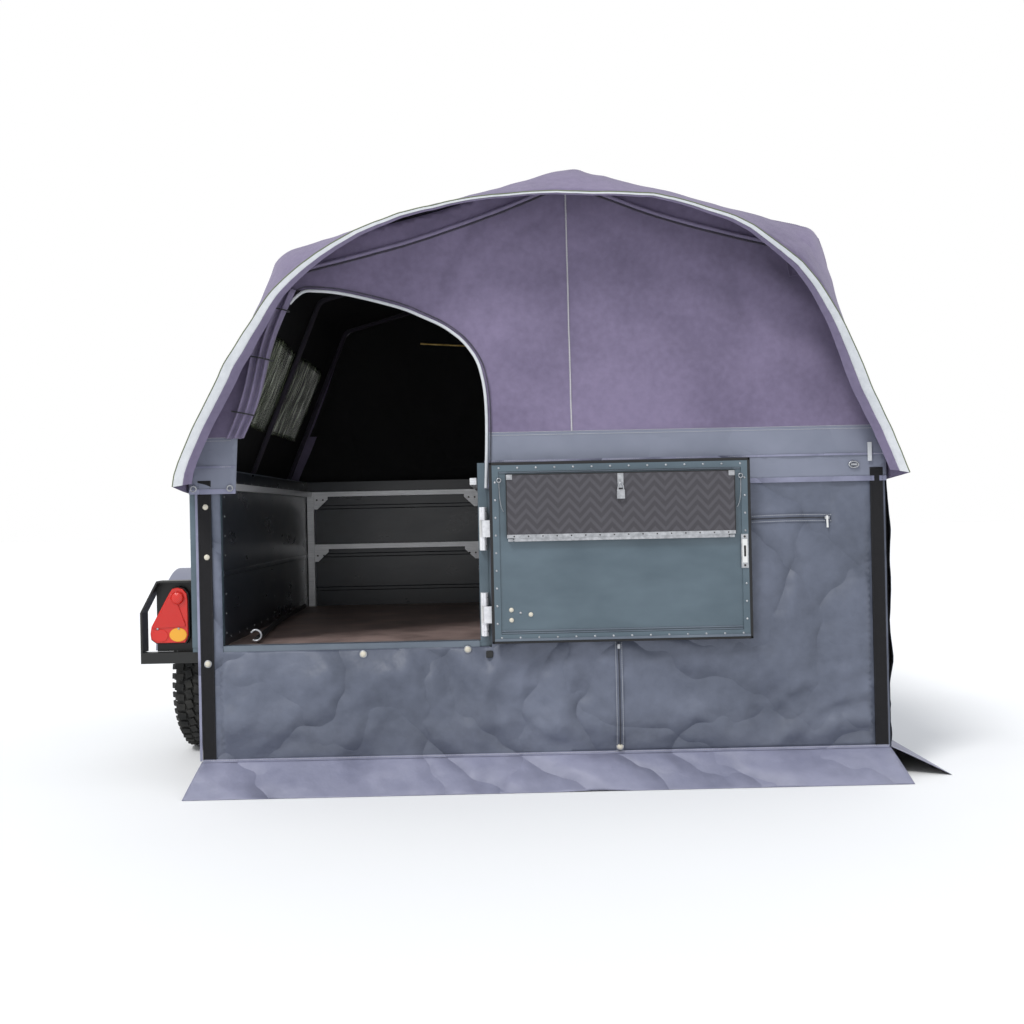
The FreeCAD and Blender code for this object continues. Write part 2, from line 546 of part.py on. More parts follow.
def box_body():
    board = box(f"-{HALF_OPENING}", "post_depth", FLOOR_LOW, "opening_width", f"{FRONT_FACE} - post_depth",
                "floor_thickness")
    corner = "swage_depth + profile_post"      # the frame's front posts stand in the board's front corners
    notches = [box(start, f"{FRAME_FACE} - profile_post", f"{FLOOR_LOW} - overshoot", f"{corner} + overshoot",
                   f"{corner} + overshoot", "floor_thickness + 2 * overshoot")
               for start in (f"-{HALF_OPENING} - overshoot", FRAME_POST)]
    node(cut(board, *notches), "box_floor")
    node(box(f"-{HALF_OPENING}", "-sill_proud", FLOOR_LOW, "opening_width", "post_depth + sill_proud",
             "sill_height"), "rear_sill")
    rib = "floor_top + swage_above_floor"
    posts = []
    for side, name in ((-1, "left"), (1, "right")):
        inner = f"{side} * {HALF_OPENING}"
        start = HALF_OPENING if side > 0 else f"-{HALF_BOX}"
        panel = box(start, "post_depth", FLOOR_LOW, WALL, "box_length - post_depth",
                    "wall_height + floor_thickness")
        ridge = slab("xz", swage(inner, rib, -side), "post_depth", f"{FRAME_FACE} - post_depth", "Swage")
        node(fuse(panel, ridge), f"box_wall_{name}")
        posts.append(tube(start, 0, FLOOR_LOW, WALL, "post_depth", f"{WALL_TOP} - {FLOOR_LOW}", "z"))
    node(together(*posts), "rear_posts")
    points = [("box_length", FLOOR_LOW), (FRONT_FACE, FLOOR_LOW)]
    for low in ("floor_top + front_swage_above_floor", rib, "floor_top + 2 * swage_above_floor"):
        points += swage(FRONT_FACE, low, -1)
    points += [(FRONT_FACE, WALL_TOP), ("box_length", WALL_TOP)]
    node(slab("yz", points, f"-{HALF_OPENING}", "opening_width", "Front"), "box_wall_front")


def inner_frame():
    top = f"({WALL_TOP} - top_rail_drop)"
    inside = f"({HALF_OPENING} - swage_depth)"
    rail_start = "(post_depth + side_rail_setback)"
    side_rails = [box(start, rail_start, f"{top} - profile", "profile", f"{FRAME_FACE} - {rail_start}", "profile")
                  for start in (f"-{inside}", f"{inside} - profile")]
    posts = [box(start, f"{FRAME_FACE} - profile_post", FLOOR_LOW, "profile_post", "profile_post",
                 f"{top} - {FLOOR_LOW}") for start in (f"-{inside}", FRAME_POST)]
    rails = [box(f"-{inside}", f"{FRAME_FACE} - profile", f"{height} - profile", f"2 * {inside}", "profile",
                 "profile") for height in (top, "(floor_top + middle_rail_height + profile)")]
    gussets = []
    for height in (f"{top} - profile", "(floor_top + middle_rail_height)"):
        for side in (-1, 1):
            inner = f"{side} * {FRAME_POST}"
            points = [(inner, height), (f"{inner} - {side} * gusset", height),
                      (f"{inner} - {side} * gusset", f"{height} - gusset / 5"),
                      (f"{inner} - {side} * gusset / 4", f"{height} - gusset * 0.9"),
                      (inner, f"{height} - gusset * 0.9")]
            gussets.append(slab("xz", points, f"{FRAME_FACE} - profile", "gusset_thickness", "Gusset"))
    node(fuse(*side_rails, *posts, *rails, *gussets), "inner_frame")


# ---------------------------------------------------------------- rear door, opened back against the skirt

DOOR_LEFT = "(2 * hinge_x - opening_width / 2 + door_gap + door_edge)"
DOOR_WIDTH = "(opening_width - 2 * door_gap - 2 * door_edge)"
DOOR_LOW = "(floor_top - floor_thickness + sill_height + door_gap)"
DOOR_OUT = "(2 * hinge_y + door_proud)"
DOOR_IN = "(2 * hinge_y + door_proud - door_thickness)"


def rear_door():
    body = new_body("Door")
    right, top = f"{DOOR_LEFT} + {DOOR_WIDTH}", f"{DOOR_LOW} + door_height"
    pad(body, outline(body, "xz", rectangle(DOOR_LEFT, right, DOOR_LOW, top), f"-({DOOR_OUT})"),
        "door_thickness")
    recess = rectangle(f"{DOOR_LEFT} + door_frame", f"{right} - door_frame", f"{DOOR_LOW} + door_frame",
                       f"{top} - door_frame")
    pocket(body, outline(body, "xz", recess, f"-({DOOR_IN})"), "door_recess")
    node(body, "rear_door")
    node(box(f"{right} - latch_edge - latch_width", f"{DOOR_IN} - latch_thickness", f"{DOOR_LOW} + latch_rise",
             "latch_width", "latch_thickness", "latch_height"), "door_latch")


def door_hinges():
    fixed, moving = [], []
    knuckle = "(hinge_length * 0.3)"
    for low in ("hinge_low", "hinge_high"):
        leaves = [rod("hinge_x", "hinge_y", low, "pin_radius", "hinge_length")]
        for at in (low, f"{low} + hinge_length - {knuckle}"):
            leaves += [rod("hinge_x", "hinge_y", at, "knuckle_radius", knuckle),
                       box("hinge_x - leaf_reach", "hinge_y", at, "leaf_width", "-hinge_y", knuckle)]
        fixed.append(fuse(*leaves))
        middle = f"{low} + {knuckle} + knuckle_gap"
        length = f"hinge_length - 2 * {knuckle} - 2 * knuckle_gap"
        arm = box("hinge_x - strap_reach", f"{DOOR_OUT} + strap_thickness", middle, "2 * strap_reach",
                  f"hinge_y - {DOOR_OUT} - strap_thickness", length)
        strap = box("hinge_x - strap_reach", DOOR_OUT, middle, "strap_length", "strap_thickness", length)
        barrel = rod("hinge_x", "hinge_y", middle, "knuckle_radius", length)
        hole = rod("hinge_x", "hinge_y", f"{middle} - overshoot", "pin_radius + shaft_gap",
                   f"{length} + 2 * overshoot")
        moving.append(cut(fuse(arm, strap, barrel), hole))
    node(together(*fixed), "door_hinge_brackets")
    node(together(*moving), "door_hinge_straps")


def door_table():
    left = f"{DOOR_LEFT} + table_inset"
    back = f"({DOOR_IN} - fabric_gap - table_standoff)"
    node(box(left, f"{back} - table_thickness", "table_low", "table_width", "table_thickness",
             "table_height"), "door_table")
    axis_y, axis_z = f"({DOOR_IN} - table_pin_reach)", "(table_low - table_pin_drop)"
    right = f"{left} + table_width"
    half = "table_rail_size / 2"
    rail = box(f"{left} + table_rail_inset", f"{axis_y} - {half}", f"{axis_z} - {half}",
               "table_width - 2 * table_rail_inset", "table_rail_size", f"table_pin_drop + {half}")
    brackets, bores = [], []
    for bracket, pin in ((f"{left} + table_bracket_inset", f"{left} + table_bracket_inset"),
                         (f"{right} - table_bracket_inset - table_bracket_width",
                          f"{right} - table_bracket_inset - table_pin_length")):
        ear = box(bracket, f"{axis_y} - {half}", f"{axis_z} - {half}", "table_bracket_width",
                  f"table_pin_reach + {half} + door_recess", "table_rail_size")
        brackets.append(fuse(ear, rod(pin, axis_y, axis_z, "table_pin_radius", "table_pin_length", along="x")))
        bores.append(rod(f"{pin} - overshoot", axis_y, axis_z, "table_pin_radius + shaft_gap",
                         "table_pin_length + 2 * overshoot", along="x"))
    node(cut(rail, *bores), "door_table_rail")
    node(together(*brackets), "door_table_brackets")


def door_table():
    left = f"{DOOR_LEFT} + table_inset"
    back = f"({DOOR_IN} - fabric_gap - 4)"
    node(box(left, f"{back} - table_thickness", "table_low", "table_width", "table_thickness",
             "table_height"), "door_table")
    axis_y, axis_z = f"({DOOR_IN} - table_pin_reach)", "(table_low - table_pin_drop)"
    right = f"{left} + table_width"
    half = "table_rail_size / 2"
    rail = box(f"{left} + 30", f"{axis_y} - {half}", f"{axis_z} - {half}", "table_width - 60",
               "table_rail_size", f"table_pin_drop + {half}")
    brackets, bores = [], []
    for bracket, pin in ((f"{left} + 6", f"{left} + 6"), (f"{right} - 26", f"{right} - 60")):
        ear = box(bracket, f"{axis_y} - {half}", f"{axis_z} - {half}", 20,
                  f"table_pin_reach + {half} + door_recess", "table_rail_size")
        brackets.append(fuse(ear, rod(pin, axis_y, axis_z, "table_pin_radius", 54, along="x")))
        bores.append(rod(f"{pin} - 1", axis_y, axis_z, "table_pin_radius + shaft_gap", 56, along="x"))
    node(cut(rail, *bores), "door_table_rail")
    node(together(*brackets), "door_table_brackets")


# ---------------------------------------------------------------- bed base


def bed():
    body = new_body("Bed")
    pad(body, outline(body, "xy", rectangle(HALF_BOX, BED_RIGHT, "0", "box_length"), BED_LOW), "bed_thickness")
    hollow = rectangle(f"{HALF_BOX} + bed_frame", f"{BED_RIGHT} - bed_frame", "bed_frame",
                       "box_length - bed_frame")
    pocket(body, outline(body, "xy", hollow, BED_LOW), "bed_thickness - bed_board", reverse=True)
    node(body, "bed_base")
    node(box(f"{HALF_BOX} + mattress_setback", "(box_length - mattress_length) / 2", f"{WALL_TOP} + fabric_gap",
             "mattress_width", "mattress_length", "mattress_height"), "mattress")
    brackets = [swinging_leg(f"({BED_RIGHT} - bed_leg_inset)", y, f"({WALL_TOP} - bed_board)",
                             "bed_leg_pivot_drop", f"bed_leg_{name}")
                for y, name in (("bed_leg_end_inset", "rear"), ("box_length - bed_leg_end_inset", "front"))]
    node(together(*brackets), "bed_leg_brackets")


# ---------------------------------------------------------------- tent


def shifted(points, distance):
    """The polyline moved to its right-hand side by a distance, with mitred corners."""
    moved = []
    for i, point in enumerate(points):
        before = points[i] - points[i - 1] if i else points[1] - points[0]
        after = points[i + 1] - points[i] if i + 1 < len(points) else before
        normals = [FreeCAD.Vector(v.y, -v.x, 0).normalize() for v in (before, after)]
        mitre = normals[0] + normals[1]
        moved.append(point + mitre * (2 * distance / mitre.dot(mitre)))
    return moved


def upright(point, y):
    """A point of a cross-section, given as (x, z), at its place along the trailer."""
    return FreeCAD.Vector(point.x, y, point.y)


def between(first, second, share):
    return first + (second - first) * share


def section():
    """The canvas's outside, from the hem on the left, over the ridge, to the hem on the right."""
    left = -(size("box_width") / 2 + size("fabric_gap") + size("canvas"))
    layers = 2 * size("canvas") + size("layer_gap") + size("fabric_gap")
    right = size("box_width") / 2 + size("bed_width") + layers
    eave = size("wall_top") + size("eave_rise")
    corners = [FreeCAD.Vector(*pair) for pair in (
        (left, eave), (size("left_shoulder_x"), size("left_shoulder_z")), (size("ridge_x"), size("ridge_z")),
        (size("right_shoulder_x"), size("right_shoulder_z")), (right, eave))]
    points = [FreeCAD.Vector(left, size("band_low"))]
    for first, second in zip(corners, corners[1:]):
        points += [first, between(first, second, 0.5)]
    points += [corners[-1], FreeCAD.Vector(right, size("band_low"))]
    return points


def lip_section():
    """The free edge in front of the rear bow: it droops at the ridge, is rounder, and flares at its hems."""
    moves = [(-27, 24), (-12, 0), (30, 16), (90, -92), (-10, -28), (-18, -157), (-16, -58), (-110, -160),
             (2, -150), (10, 0), (40, 26)]
    return [point + FreeCAD.Vector(*move) for point, move in zip(section(), moves)]


def ring(points, y, thickness):
    outer = [upright(p, y) for p in points]
    inner = [upright(p, y) for p in shifted(points, thickness)]
    corners = outer + inner[::-1]
    return Part.makePolygon(corners + corners[:1])


def canvas_shell(stations, depth, thickness):
    """The canvas between cross-sections as one sheet: depth below the outside, and that thick."""
    rings = [ring(shifted(points, depth) if depth else points, y, thickness) for y, points in stations]
    return Part.makeLoft(rings, True, True)


def window_boxes(side):
    """Blocks that cut the side's two windows out of the sloping canvas, and reach no further than that side."""
    low, high = size("window_low"), size("window_high")
    reach = size("window_cut")
    start = size("left_shoulder_x") - reach if side == "left" else size("right_shoulder_x") - size("window_cut_room")
    boxes = []
    for index in range(2):
        y = size("window_start") + index * (size("window_length") + size("window_bar"))
        boxes.append(Part.makeBox(reach, size("window_length"), high - low, FreeCAD.Vector(start, y, low)))
    return boxes


def roof():
    """The roof with both sides and their windows, and the hood that it grows into behind the rear bow."""
    clear = size("bow_rear_y") - size("bow_radius") - size("canvas")
    length = size("box_length")
    ends = (clear, length - clear, length + size("tent_front_overhang"))
    stations = [(y, section()) for y in ends]
    shell = canvas_shell(stations, 0, size("canvas"))
    film = canvas_shell(stations, size("film_depth"), size("film_thickness"))
    for side in ("left", "right"):
        panes = window_boxes(side)
        shell = shell.cut(panes)
        node(feature(Part.makeCompound([film.common(pane) for pane in panes]), "Panes"), f"window_{side}")
    node(feature(shell, "Roof"), "tent_roof")
    hood = canvas_shell([(size("lip_y"), lip_section()), stations[0]], 0, size("canvas"))
    node(feature(hood, "Hood"), "tent_rear_hood")


def end_wall_outline():
    """The end walls' own outline: inside the canvas with room for its thickness."""
    inner = shifted(section(), size("canvas") + 1)
    keep = [inner[i] for i in (0, 1, 3, 5, 7, 9, 10)]
    shoulder_room = {2: (26, -34), 3: (0, -12), 4: (-34, -42)}
    return [p + FreeCAD.Vector(*shoulder_room.get(i, (0, 0))) for i, p in enumerate(keep)]


def doorway():
    """The tent's doorway, above the rear opening of the box: straight edges and the round of the zip."""
    half = size("opening_width") / 2
    left, right = -half + size("doorway_left"), half + size("doorway_right")
    bottom, bend = size("floor_top"), size("wall_top") + size("doorway_bend")
    top = size("left_shoulder_z") - size("doorway_top_drop")
    left_low, left_high = FreeCAD.Vector(left, bottom), FreeCAD.Vector(left, bend)
    top_left, top_right = FreeCAD.Vector(left + 210, top + 30), FreeCAD.Vector(right - 340, top - 50)
    round_middle, round_end = FreeCAD.Vector(right - 95, top - 190), FreeCAD.Vector(right, top - 420)
    low_right = FreeCAD.Vector(right, bottom)
    points = [upright(p, 0) for p in (left_low, left_high, top_left, top_right, round_middle, round_end,
                                      low_right)]
    edges = [Part.makeLine(points[0], points[1]), Part.makeLine(points[1], points[2]),
             Part.makeLine(points[2], points[3]), Part.Arc(points[3], points[4], points[5]).toShape(),
             Part.makeLine(points[5], points[6]), Part.makeLine(points[6], points[0])]
    return Part.Face(Part.Wire(edges))


def end_wall(front):
    """A sheet that hangs outside the box up to the band, then leans inwards to the bow."""
    high = size("ridge_z") + 50
    outside = size("canvas") * 2 + size("layer_gap") + size("fabric_gap")
    lean = size("bow_rear_y") - size("bow_radius") - size("canvas") - 1
    profile = [FreeCAD.Vector(-outside, size("band_low")), FreeCAD.Vector(-outside, size("band_high")),
               FreeCAD.Vector(lean, size("ridge_z"))]
    share = (high - size("band_high")) / (size("ridge_z") - size("band_high"))
    profile.append(between(profile[1], profile[2], share))
    profile.pop(2)
    back = shifted(profile, size("canvas"))
    far = size("far")
    corners = [FreeCAD.Vector(-far, p.x, p.y) for p in profile + back[::-1]]
    leaning = Part.Face(Part.makePolygon(corners + corners[:1])).extrude(FreeCAD.Vector(2 * far, 0, 0))
    if front:
        leaning = leaning.mirror(FreeCAD.Vector(0, size("box_length") / 2, 0), FreeCAD.Vector(0, 1, 0))
    rim = [upright(p, -far) for p in end_wall_outline()]
    prism = Part.Face(Part.makePolygon(rim + rim[:1])).extrude(FreeCAD.Vector(0, 3 * far, 0))
    wall = leaning.common(prism)
    if front:
        return wall
    opening = doorway().extrude(FreeCAD.Vector(0, 2 * far, 0))
    opening.translate(FreeCAD.Vector(0, -far, 0))
    return wall.cut(opening)


def bow(y):
    """A round tube bent at the shoulders and the ridge, standing on the wall and on the bed base."""
    line = shifted([section()[i] for i in (1, 3, 5, 7, 9)], size("canvas") + size("bow_radius") + 1)
    foot = size("wall_top") + size("fabric_gap")
    for end, inside in ((0, 1), (-1, -2)):
        run = line[inside] - line[end]
        line[end] = line[end] + run * ((foot - line[end].y) / run.y)
    points = [upright(p, y) for p in line]
    bend = size("bow_bend")
    edges, start = [], points[0]
    for i in range(1, len(points) - 1):
        back = (points[i - 1] - points[i]).normalize()
        ahead = (points[i + 1] - points[i]).normalize()
        middle = (back + ahead).normalize()
        reach = bend / math.tan(back.getAngle(ahead) / 2)
        centre = points[i] + middle * (bend / math.sin(back.getAngle(ahead) / 2))
        first, last = points[i] + back * reach, points[i] + ahead * reach
        edges.append(Part.makeLine(start, first))
        edges.append(Part.Arc(first, centre - middle * bend, last).toShape())
        start = last
    edges.append(Part.makeLine(start, points[-1]))
    path = Part.Wire(edges)
    circle = Part.Wire(Part.makeCircle(size("bow_radius"), points[0], (points[1] - points[0]).normalize()))
    tube_solid = path.makePipeShell([circle], True, True)
    far, deep = size("far"), 4 * size("bow_radius")
    trim = Part.makeBox(2 * far, 2 * deep, deep, FreeCAD.Vector(-far, y - deep, foot - deep))
    return tube_solid.cut(trim)


def tent():
    roof()
    node(feature(end_wall(False), "RearWall"), "tent_rear_wall")
    node(feature(end_wall(True), "FrontWall"), "tent_front_wall")
    length = size("box_length")
    for y, name in ((size("bow_rear_y"), "rear"), (length / 2, "middle"), (length - size("bow_rear_y"), "front")):
        node(feature(bow(y), "Bow"), f"tent_bow_{name}")


# ---------------------------------------------------------------- skirts


def flap_points(face, away, reach):
    """The mud flap's section: from the foot of the skirt out to the ground."""
    inner, outer = f"{face}", f"{face} + {away} * canvas"
    return [(inner, "skirt_low + canvas"), (outer, "skirt_low + canvas"),
            (f"{face} + {away} * {reach}", "ground_gap + canvas"), (f"{face} + {away} * {reach}", "ground_gap"),
            (f"{face} + {away} * ({reach} - canvas)", "ground_gap"), (inner, "skirt_low - canvas")]


def skirts():
    face = "-fabric_gap"
    bed_edge = f"({BED_RIGHT} + fabric_gap)"
    outline_points = [("skirt_left", "skirt_low + canvas"), (BED_RIGHT, "skirt_low + canvas"),
                      (BED_RIGHT, "skirt_high"), ("hinge_x + skirt_hinge_room", "skirt_high"),
                      ("hinge_x + skirt_hinge_room", "skirt_top_under_box"),
                      (f"-{HALF_OPENING}", "skirt_top_under_box"), (f"-{HALF_OPENING}", "skirt_high"),
                      ("skirt_left", "skirt_high")]
    panel = slab("xz", outline_points, f"{face} - canvas", "canvas", "RearSkirt")
    flap = slab("yz", flap_points(face, -1, "flap_reach"), "skirt_left", f"{BED_RIGHT} - (skirt_left)", "RearFlap")
    node(fuse(panel, flap), "skirt_rear")
    panel = box(bed_edge, 0, "skirt_low + canvas", "canvas", "box_length", "skirt_high - skirt_low - canvas")
    flap = slab("xz", flap_points(bed_edge, 1, "side_flap_reach"), "0", "box_length", "SideFlap")
    node(fuse(panel, flap), "skirt_right")
    front = "(box_length + fabric_gap)"
    panel = box(HALF_BOX, front, "skirt_low + canvas", "bed_width", "canvas", "skirt_high - skirt_low - canvas")
    flap = slab("yz", flap_points(front, 1, "flap_reach"), HALF_BOX, "bed_width", "FrontFlap")
    node(fuse(panel, flap), "skirt_front")


def check_and_write():
    doc.recompute()
    for thing in doc.Objects:
        if {"Invalid", "Error"} & set(thing.State):
            raise RuntimeError(f"{thing.Label} ({thing.Name}) is {thing.State}")
    os.makedirs("parts", exist_ok=True)
    for made in nodes:
        shape = made.Shape
        if shape.isNull() or not shape.isValid() or not shape.Solids:
            raise RuntimeError(f"{made.Label} has no valid solid")
        shape.exportStep(os.path.join("parts", f"{made.Label}.step"))
        print(f"{made.Label}: {len(shape.Solids)} solids, {shape.Volume / 1e6:.2f} litres")


fill_sheet()
chassis()
drawbar()
coupling()
handbrake()
jockey_holder()
jockey()
steadies()
axle()
wheels()
mudguards()
tail_lamps()
box_body()
inner_frame()
rear_door()
door_hinges()
door_table()
bed()
tent()
skirts()
check_and_write()
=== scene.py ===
"""Trailer tent: the finish of every piece, its canvas, skirts, window film and mattress, and its small fittings."""
import math

import bmesh
import bpy
import numpy as np
from mathutils import Matrix, Vector, noise
from mathutils.geometry import delaunay_2d_cdt


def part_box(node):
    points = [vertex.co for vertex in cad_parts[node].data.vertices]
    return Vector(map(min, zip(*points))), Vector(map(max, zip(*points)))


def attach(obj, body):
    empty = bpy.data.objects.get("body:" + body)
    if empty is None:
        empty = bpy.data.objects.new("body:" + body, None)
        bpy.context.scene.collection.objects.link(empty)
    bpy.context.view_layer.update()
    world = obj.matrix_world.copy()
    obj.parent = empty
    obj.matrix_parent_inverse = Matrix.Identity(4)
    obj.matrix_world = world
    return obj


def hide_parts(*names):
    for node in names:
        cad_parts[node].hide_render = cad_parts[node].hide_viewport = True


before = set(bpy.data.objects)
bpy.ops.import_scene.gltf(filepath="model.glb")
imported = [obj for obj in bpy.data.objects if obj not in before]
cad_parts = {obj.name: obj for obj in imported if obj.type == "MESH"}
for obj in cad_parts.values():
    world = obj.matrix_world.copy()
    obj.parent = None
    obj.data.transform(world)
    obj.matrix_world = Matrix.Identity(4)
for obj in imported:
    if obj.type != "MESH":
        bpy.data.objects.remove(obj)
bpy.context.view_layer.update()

bl_info = {
    "name": "Trailer tent",
    "version": (1, 0, 0),
    "blender": (4, 5, 0),
    "location": "3D View > Sidebar > Trailer tent",
    "description": "Builds a trailer tent's canvas, fittings and finishes around its frame",
    "category": "Object",
}

# ---------------------------------------------------------------- where things are

POSTS, FLOOR, BED, DOOR = (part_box(n) for n in ("rear_posts", "box_floor", "bed_base", "rear_door"))
MIDDLE_X = (POSTS[0][0] + POSTS[1][0]) / 2
REAR_Y = POSTS[0][1]
FRONT_Y = BED[1][1] - REAR_Y
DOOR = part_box("rear_door")
DOOR_SPAN = (DOOR[0][0] - MIDDLE_X, DOOR[1][0] - MIDDLE_X, DOOR[0][2])
DOOR_ROOM = max(REAR_Y - DOOR[1][1] - 0.012, 0.002)
HALF_BOX = (POSTS[1][0] - POSTS[0][0]) / 2
HALF_OPENING = (FLOOR[1][0] - FLOOR[0][0]) / 2
WALL_TOP = POSTS[1][2]
FLOOR_TOP = FLOOR[1][2]
BED_RIGHT = BED[1][0] - MIDDLE_X
BAND_LOW, BAND_SEAM, BAND_HIGH = 1.181, 1.289, 1.405
LEFT_SHOULDER, RIDGE, RIGHT_SHOULDER = (-0.28, 2.163), (0.911, 2.496), (1.931, 2.219)
LIP_Y, BOW_Y = -0.15, 0.11
WINDOW_LOW, WINDOW_HIGH = 1.51, 1.88
WINDOWS = ((0.35, 1.07), (1.13, 1.85))
SKIRT_SEAM, SKIRT_LEFT, SKIRT_TOP = 0.115, -0.6, 1.25
REAR_FLAP, RIGHT_FLAP, FRONT_FLAP = 0.165, 0.235, 0.2  # how far out each mud flap reaches
OPENING_SIDES, SKIRT_OPENING_TOP = (-0.512, 0.56), 0.551  # where the skirt is cut away round the door opening


def at(x, y, z):
    """A point given from the middle of the box's rear face, on the ground, in the frame."""
    return Vector((x + MIDDLE_X, y + REAR_Y, z))


# ---------------------------------------------------------------- materials


def tone(red, green, blue):
    """A screen colour, 0 to 255, as the linear colour that a shader takes."""
    def linear(c):
        c /= 255
        return c / 12.92 if c <= 0.04045 else ((c + 0.055) / 1.055) ** 2.4
    return linear(red), linear(green), linear(blue), 1.0


class Value:
    """A number on its way through a material: arithmetic on it adds Math nodes."""

    def __init__(self, paint, socket):
        self.paint, self.socket = paint, socket

    def maths(self, operation, *others):
        made = self.paint.node("ShaderNodeMath", {"operation": operation}, {})
        for slot, value in enumerate((self, *others)):
            self.paint.feed(made.inputs[slot], value)
        return Value(self.paint, made.outputs[0])

    def __add__(self, other):
        return self.maths("ADD", other)

    def __mul__(self, other):
        return self.maths("MULTIPLY", other)

    def __sub__(self, other):
        return self.maths("SUBTRACT", other)

    def __rsub__(self, other):
        return self.maths("MULTIPLY", -1).maths("ADD", other)

    __radd__, __rmul__ = __add__, __mul__

    def over(self, edge, soft=0.02):
        """0 below the edge and 1 above it, with a soft step between."""
        return ((self - edge) * (1 / soft)).maths("MINIMUM", 1).maths("MAXIMUM", 0)


class Paint:
    """A material and its Principled shader."""

    def __init__(self, name, **constants):
        self.material = bpy.data.materials.new(name)
        self.material.use_nodes = True
        self.tree = self.material.node_tree
        self.tree.nodes.clear()
        self.shader = self.tree.nodes.new("ShaderNodeBsdfPrincipled")
        self.output = self.tree.nodes.new("ShaderNodeOutputMaterial")
        self.tree.links.new(self.shader.outputs[0], self.output.inputs[0])
        for key, value in constants.items():
            self.set(key.replace("_", " "), value)

    def feed(self, socket, value):
        if isinstance(value, Value):
            self.tree.links.new(value.socket, socket)
        elif isinstance(value, bpy.types.NodeSocket):
            self.tree.links.new(value, socket)
        else:
            socket.default_value = value

    def set(self, name, value):
        self.feed(self.shader.inputs[name], value)
        return self

    def node(self, kind, settings, values):
        made = self.tree.nodes.new(kind)
        for key, value in settings.items():
            setattr(made, key, value)
        for key, value in values.items():
            self.feed(made.inputs[key], value)
        return made

    def place(self, across=1, along=1, up=1):
        """Object coordinates, stretched along each axis."""
        object_place = self.node("ShaderNodeTexCoord", {}, {}).outputs["Object"]
        return self.node("ShaderNodeMapping", {}, {"Vector": object_place, "Scale": (across, along, up)}).outputs[0]

    def axes(self):
        split = self.node("ShaderNodeSeparateXYZ", {}, {"Vector": self.place()})
        return [Value(self, socket) for socket in split.outputs]

    def noise(self, scale, detail=3, stretch=(1, 1, 1)):
        values = {"Vector": self.place(*stretch), "Scale": scale, "Detail": detail}
        return Value(self, self.node("ShaderNodeTexNoise", {}, values).outputs[0])

    def mix(self, factor, first, second):
        made = self.node("ShaderNodeMix", {"data_type": "RGBA"}, {0: factor, 6: first, 7: second})
        return made.outputs[2]

    def bump(self, height, depth, strength=1.0):
        made = self.node("ShaderNodeBump", {}, {"Height": height, "Distance": depth, "Strength": strength})
        self.set("Normal", made.outputs[0])
        return self


def between(paint, amount, first, second):
    return paint.mix(amount, tone(*first), tone(*second))


def cloth_paint(name, light, dark, low=None, rough=0.9):
    """Close-woven canvas, paler and darker in clouds; with a coated band below the height `low`."""
    paint = Paint(name, Sheen_Weight=0.15, Sheen_Roughness=0.6)
    clouds = paint.noise(2.2, 5) * 0.7 + paint.noise(38, 4) * 0.3
    weave = paint.noise(900, 1, (1, 1, 0.35)) * 0.5 + paint.noise(900, 1, (0.35, 1, 1)) * 0.5
    colour = between(paint, clouds.over(0.35, 0.3) * 0.8 + weave * 0.2, dark, light)
    if low:
        band = 1 - paint.axes()[2].over(low, 0.002)
        coated = between(paint, paint.noise(5, 4), (106, 112, 128), (134, 138, 155))
        colour = paint.mix(band, colour, coated)
        paint.set("Roughness", rough - band * 0.36)
        weave = weave * (1 - band * 0.7)
    else:
        paint.set("Roughness", rough - clouds * 0.08)
    paint.set("Base Color", colour)
    relief = weave * 0.05 + creases(paint, 1.4) * 0.5 + paint.noise(5, 3) * 0.2
    return paint.bump(relief, 0.020, 0.8).material


def roof_underside_with_painted_shade():
    """The roof's underside: dark inside the tent, and the outside's own colour under the hood."""
    paint = Paint("Roof underside, painted shade inside the tent")
    inside = paint.axes()[1].over(REAR_Y + 0.1, 0.01)
    clouds = paint.noise(2.2, 5)
    hood = between(paint, clouds, (96, 88, 112), (124, 115, 142))
    # painted shade: the underside turns near black wherever it lies inside the tent
    paint.set("Base Color", paint.mix(inside, hood, tone(13, 13, 16)))
    paint.set("Roughness", 0.92 - clouds * 0.06)
    return paint.material


def creases(paint, size):
    """Long wandering folds that cross each other, sharp along their low lines."""
    x, y, z = paint.axes()
    first = ((x + y) * (4.5 / size) + z * (7.5 / size) + paint.noise(1.3, 3) * 13).maths("SINE").maths("ABSOLUTE")
    second = ((x + y) * (6.5 / size) - z * (4.6 / size) + paint.noise(1.7, 3) * 11).maths("SINE").maths("ABSOLUTE")
    return first * paint.noise(2.3, 2) + second * paint.noise(2.9, 2)


def coated_paint(name, light, dark):
    """PVC-coated cloth: a faint sheen, paler and darker in clouds, with crossing folds and dust near the ground."""
    paint = Paint(name)
    clouds = paint.noise(2.1, 5) * 0.7 + paint.noise(24, 5) * 0.3
    dust = (1 - paint.axes()[2].over(0.02, 0.35)) * paint.noise(9, 4)
    crease_shade_and_wear = creases(paint, 1)
    # painted shade: darker along the crease lines, paler on the ridges as wear; the big cloud patches are partly
    # painted fold shade
    colour = between(paint, clouds.over(0.3, 0.4) * 0.75 + crease_shade_and_wear * 0.25, dark, light)
    paint.set("Base Color", paint.mix(dust * 0.2, colour, tone(150, 150, 156)))
    paint.set("Roughness", 0.42 + clouds * 0.2)
    relief = crease_shade_and_wear * 0.9 + paint.noise(6, 4) * 0.35
    return paint.bump(relief, 0.040, 1.0).material


def metal_paint(name, light, dark, metallic, rough, grain=(1, 1, 1)):
    paint = Paint(name, Metallic=metallic)
    streaks = paint.noise(60, 4, grain)
    paint.set("Base Color", between(paint, streaks.over(0.3, 0.4), dark, light))
    paint.set("Roughness", rough + paint.noise(14, 4) * 0.16 - 0.08)
    return paint.bump(streaks, 0.0003, 0.35).material


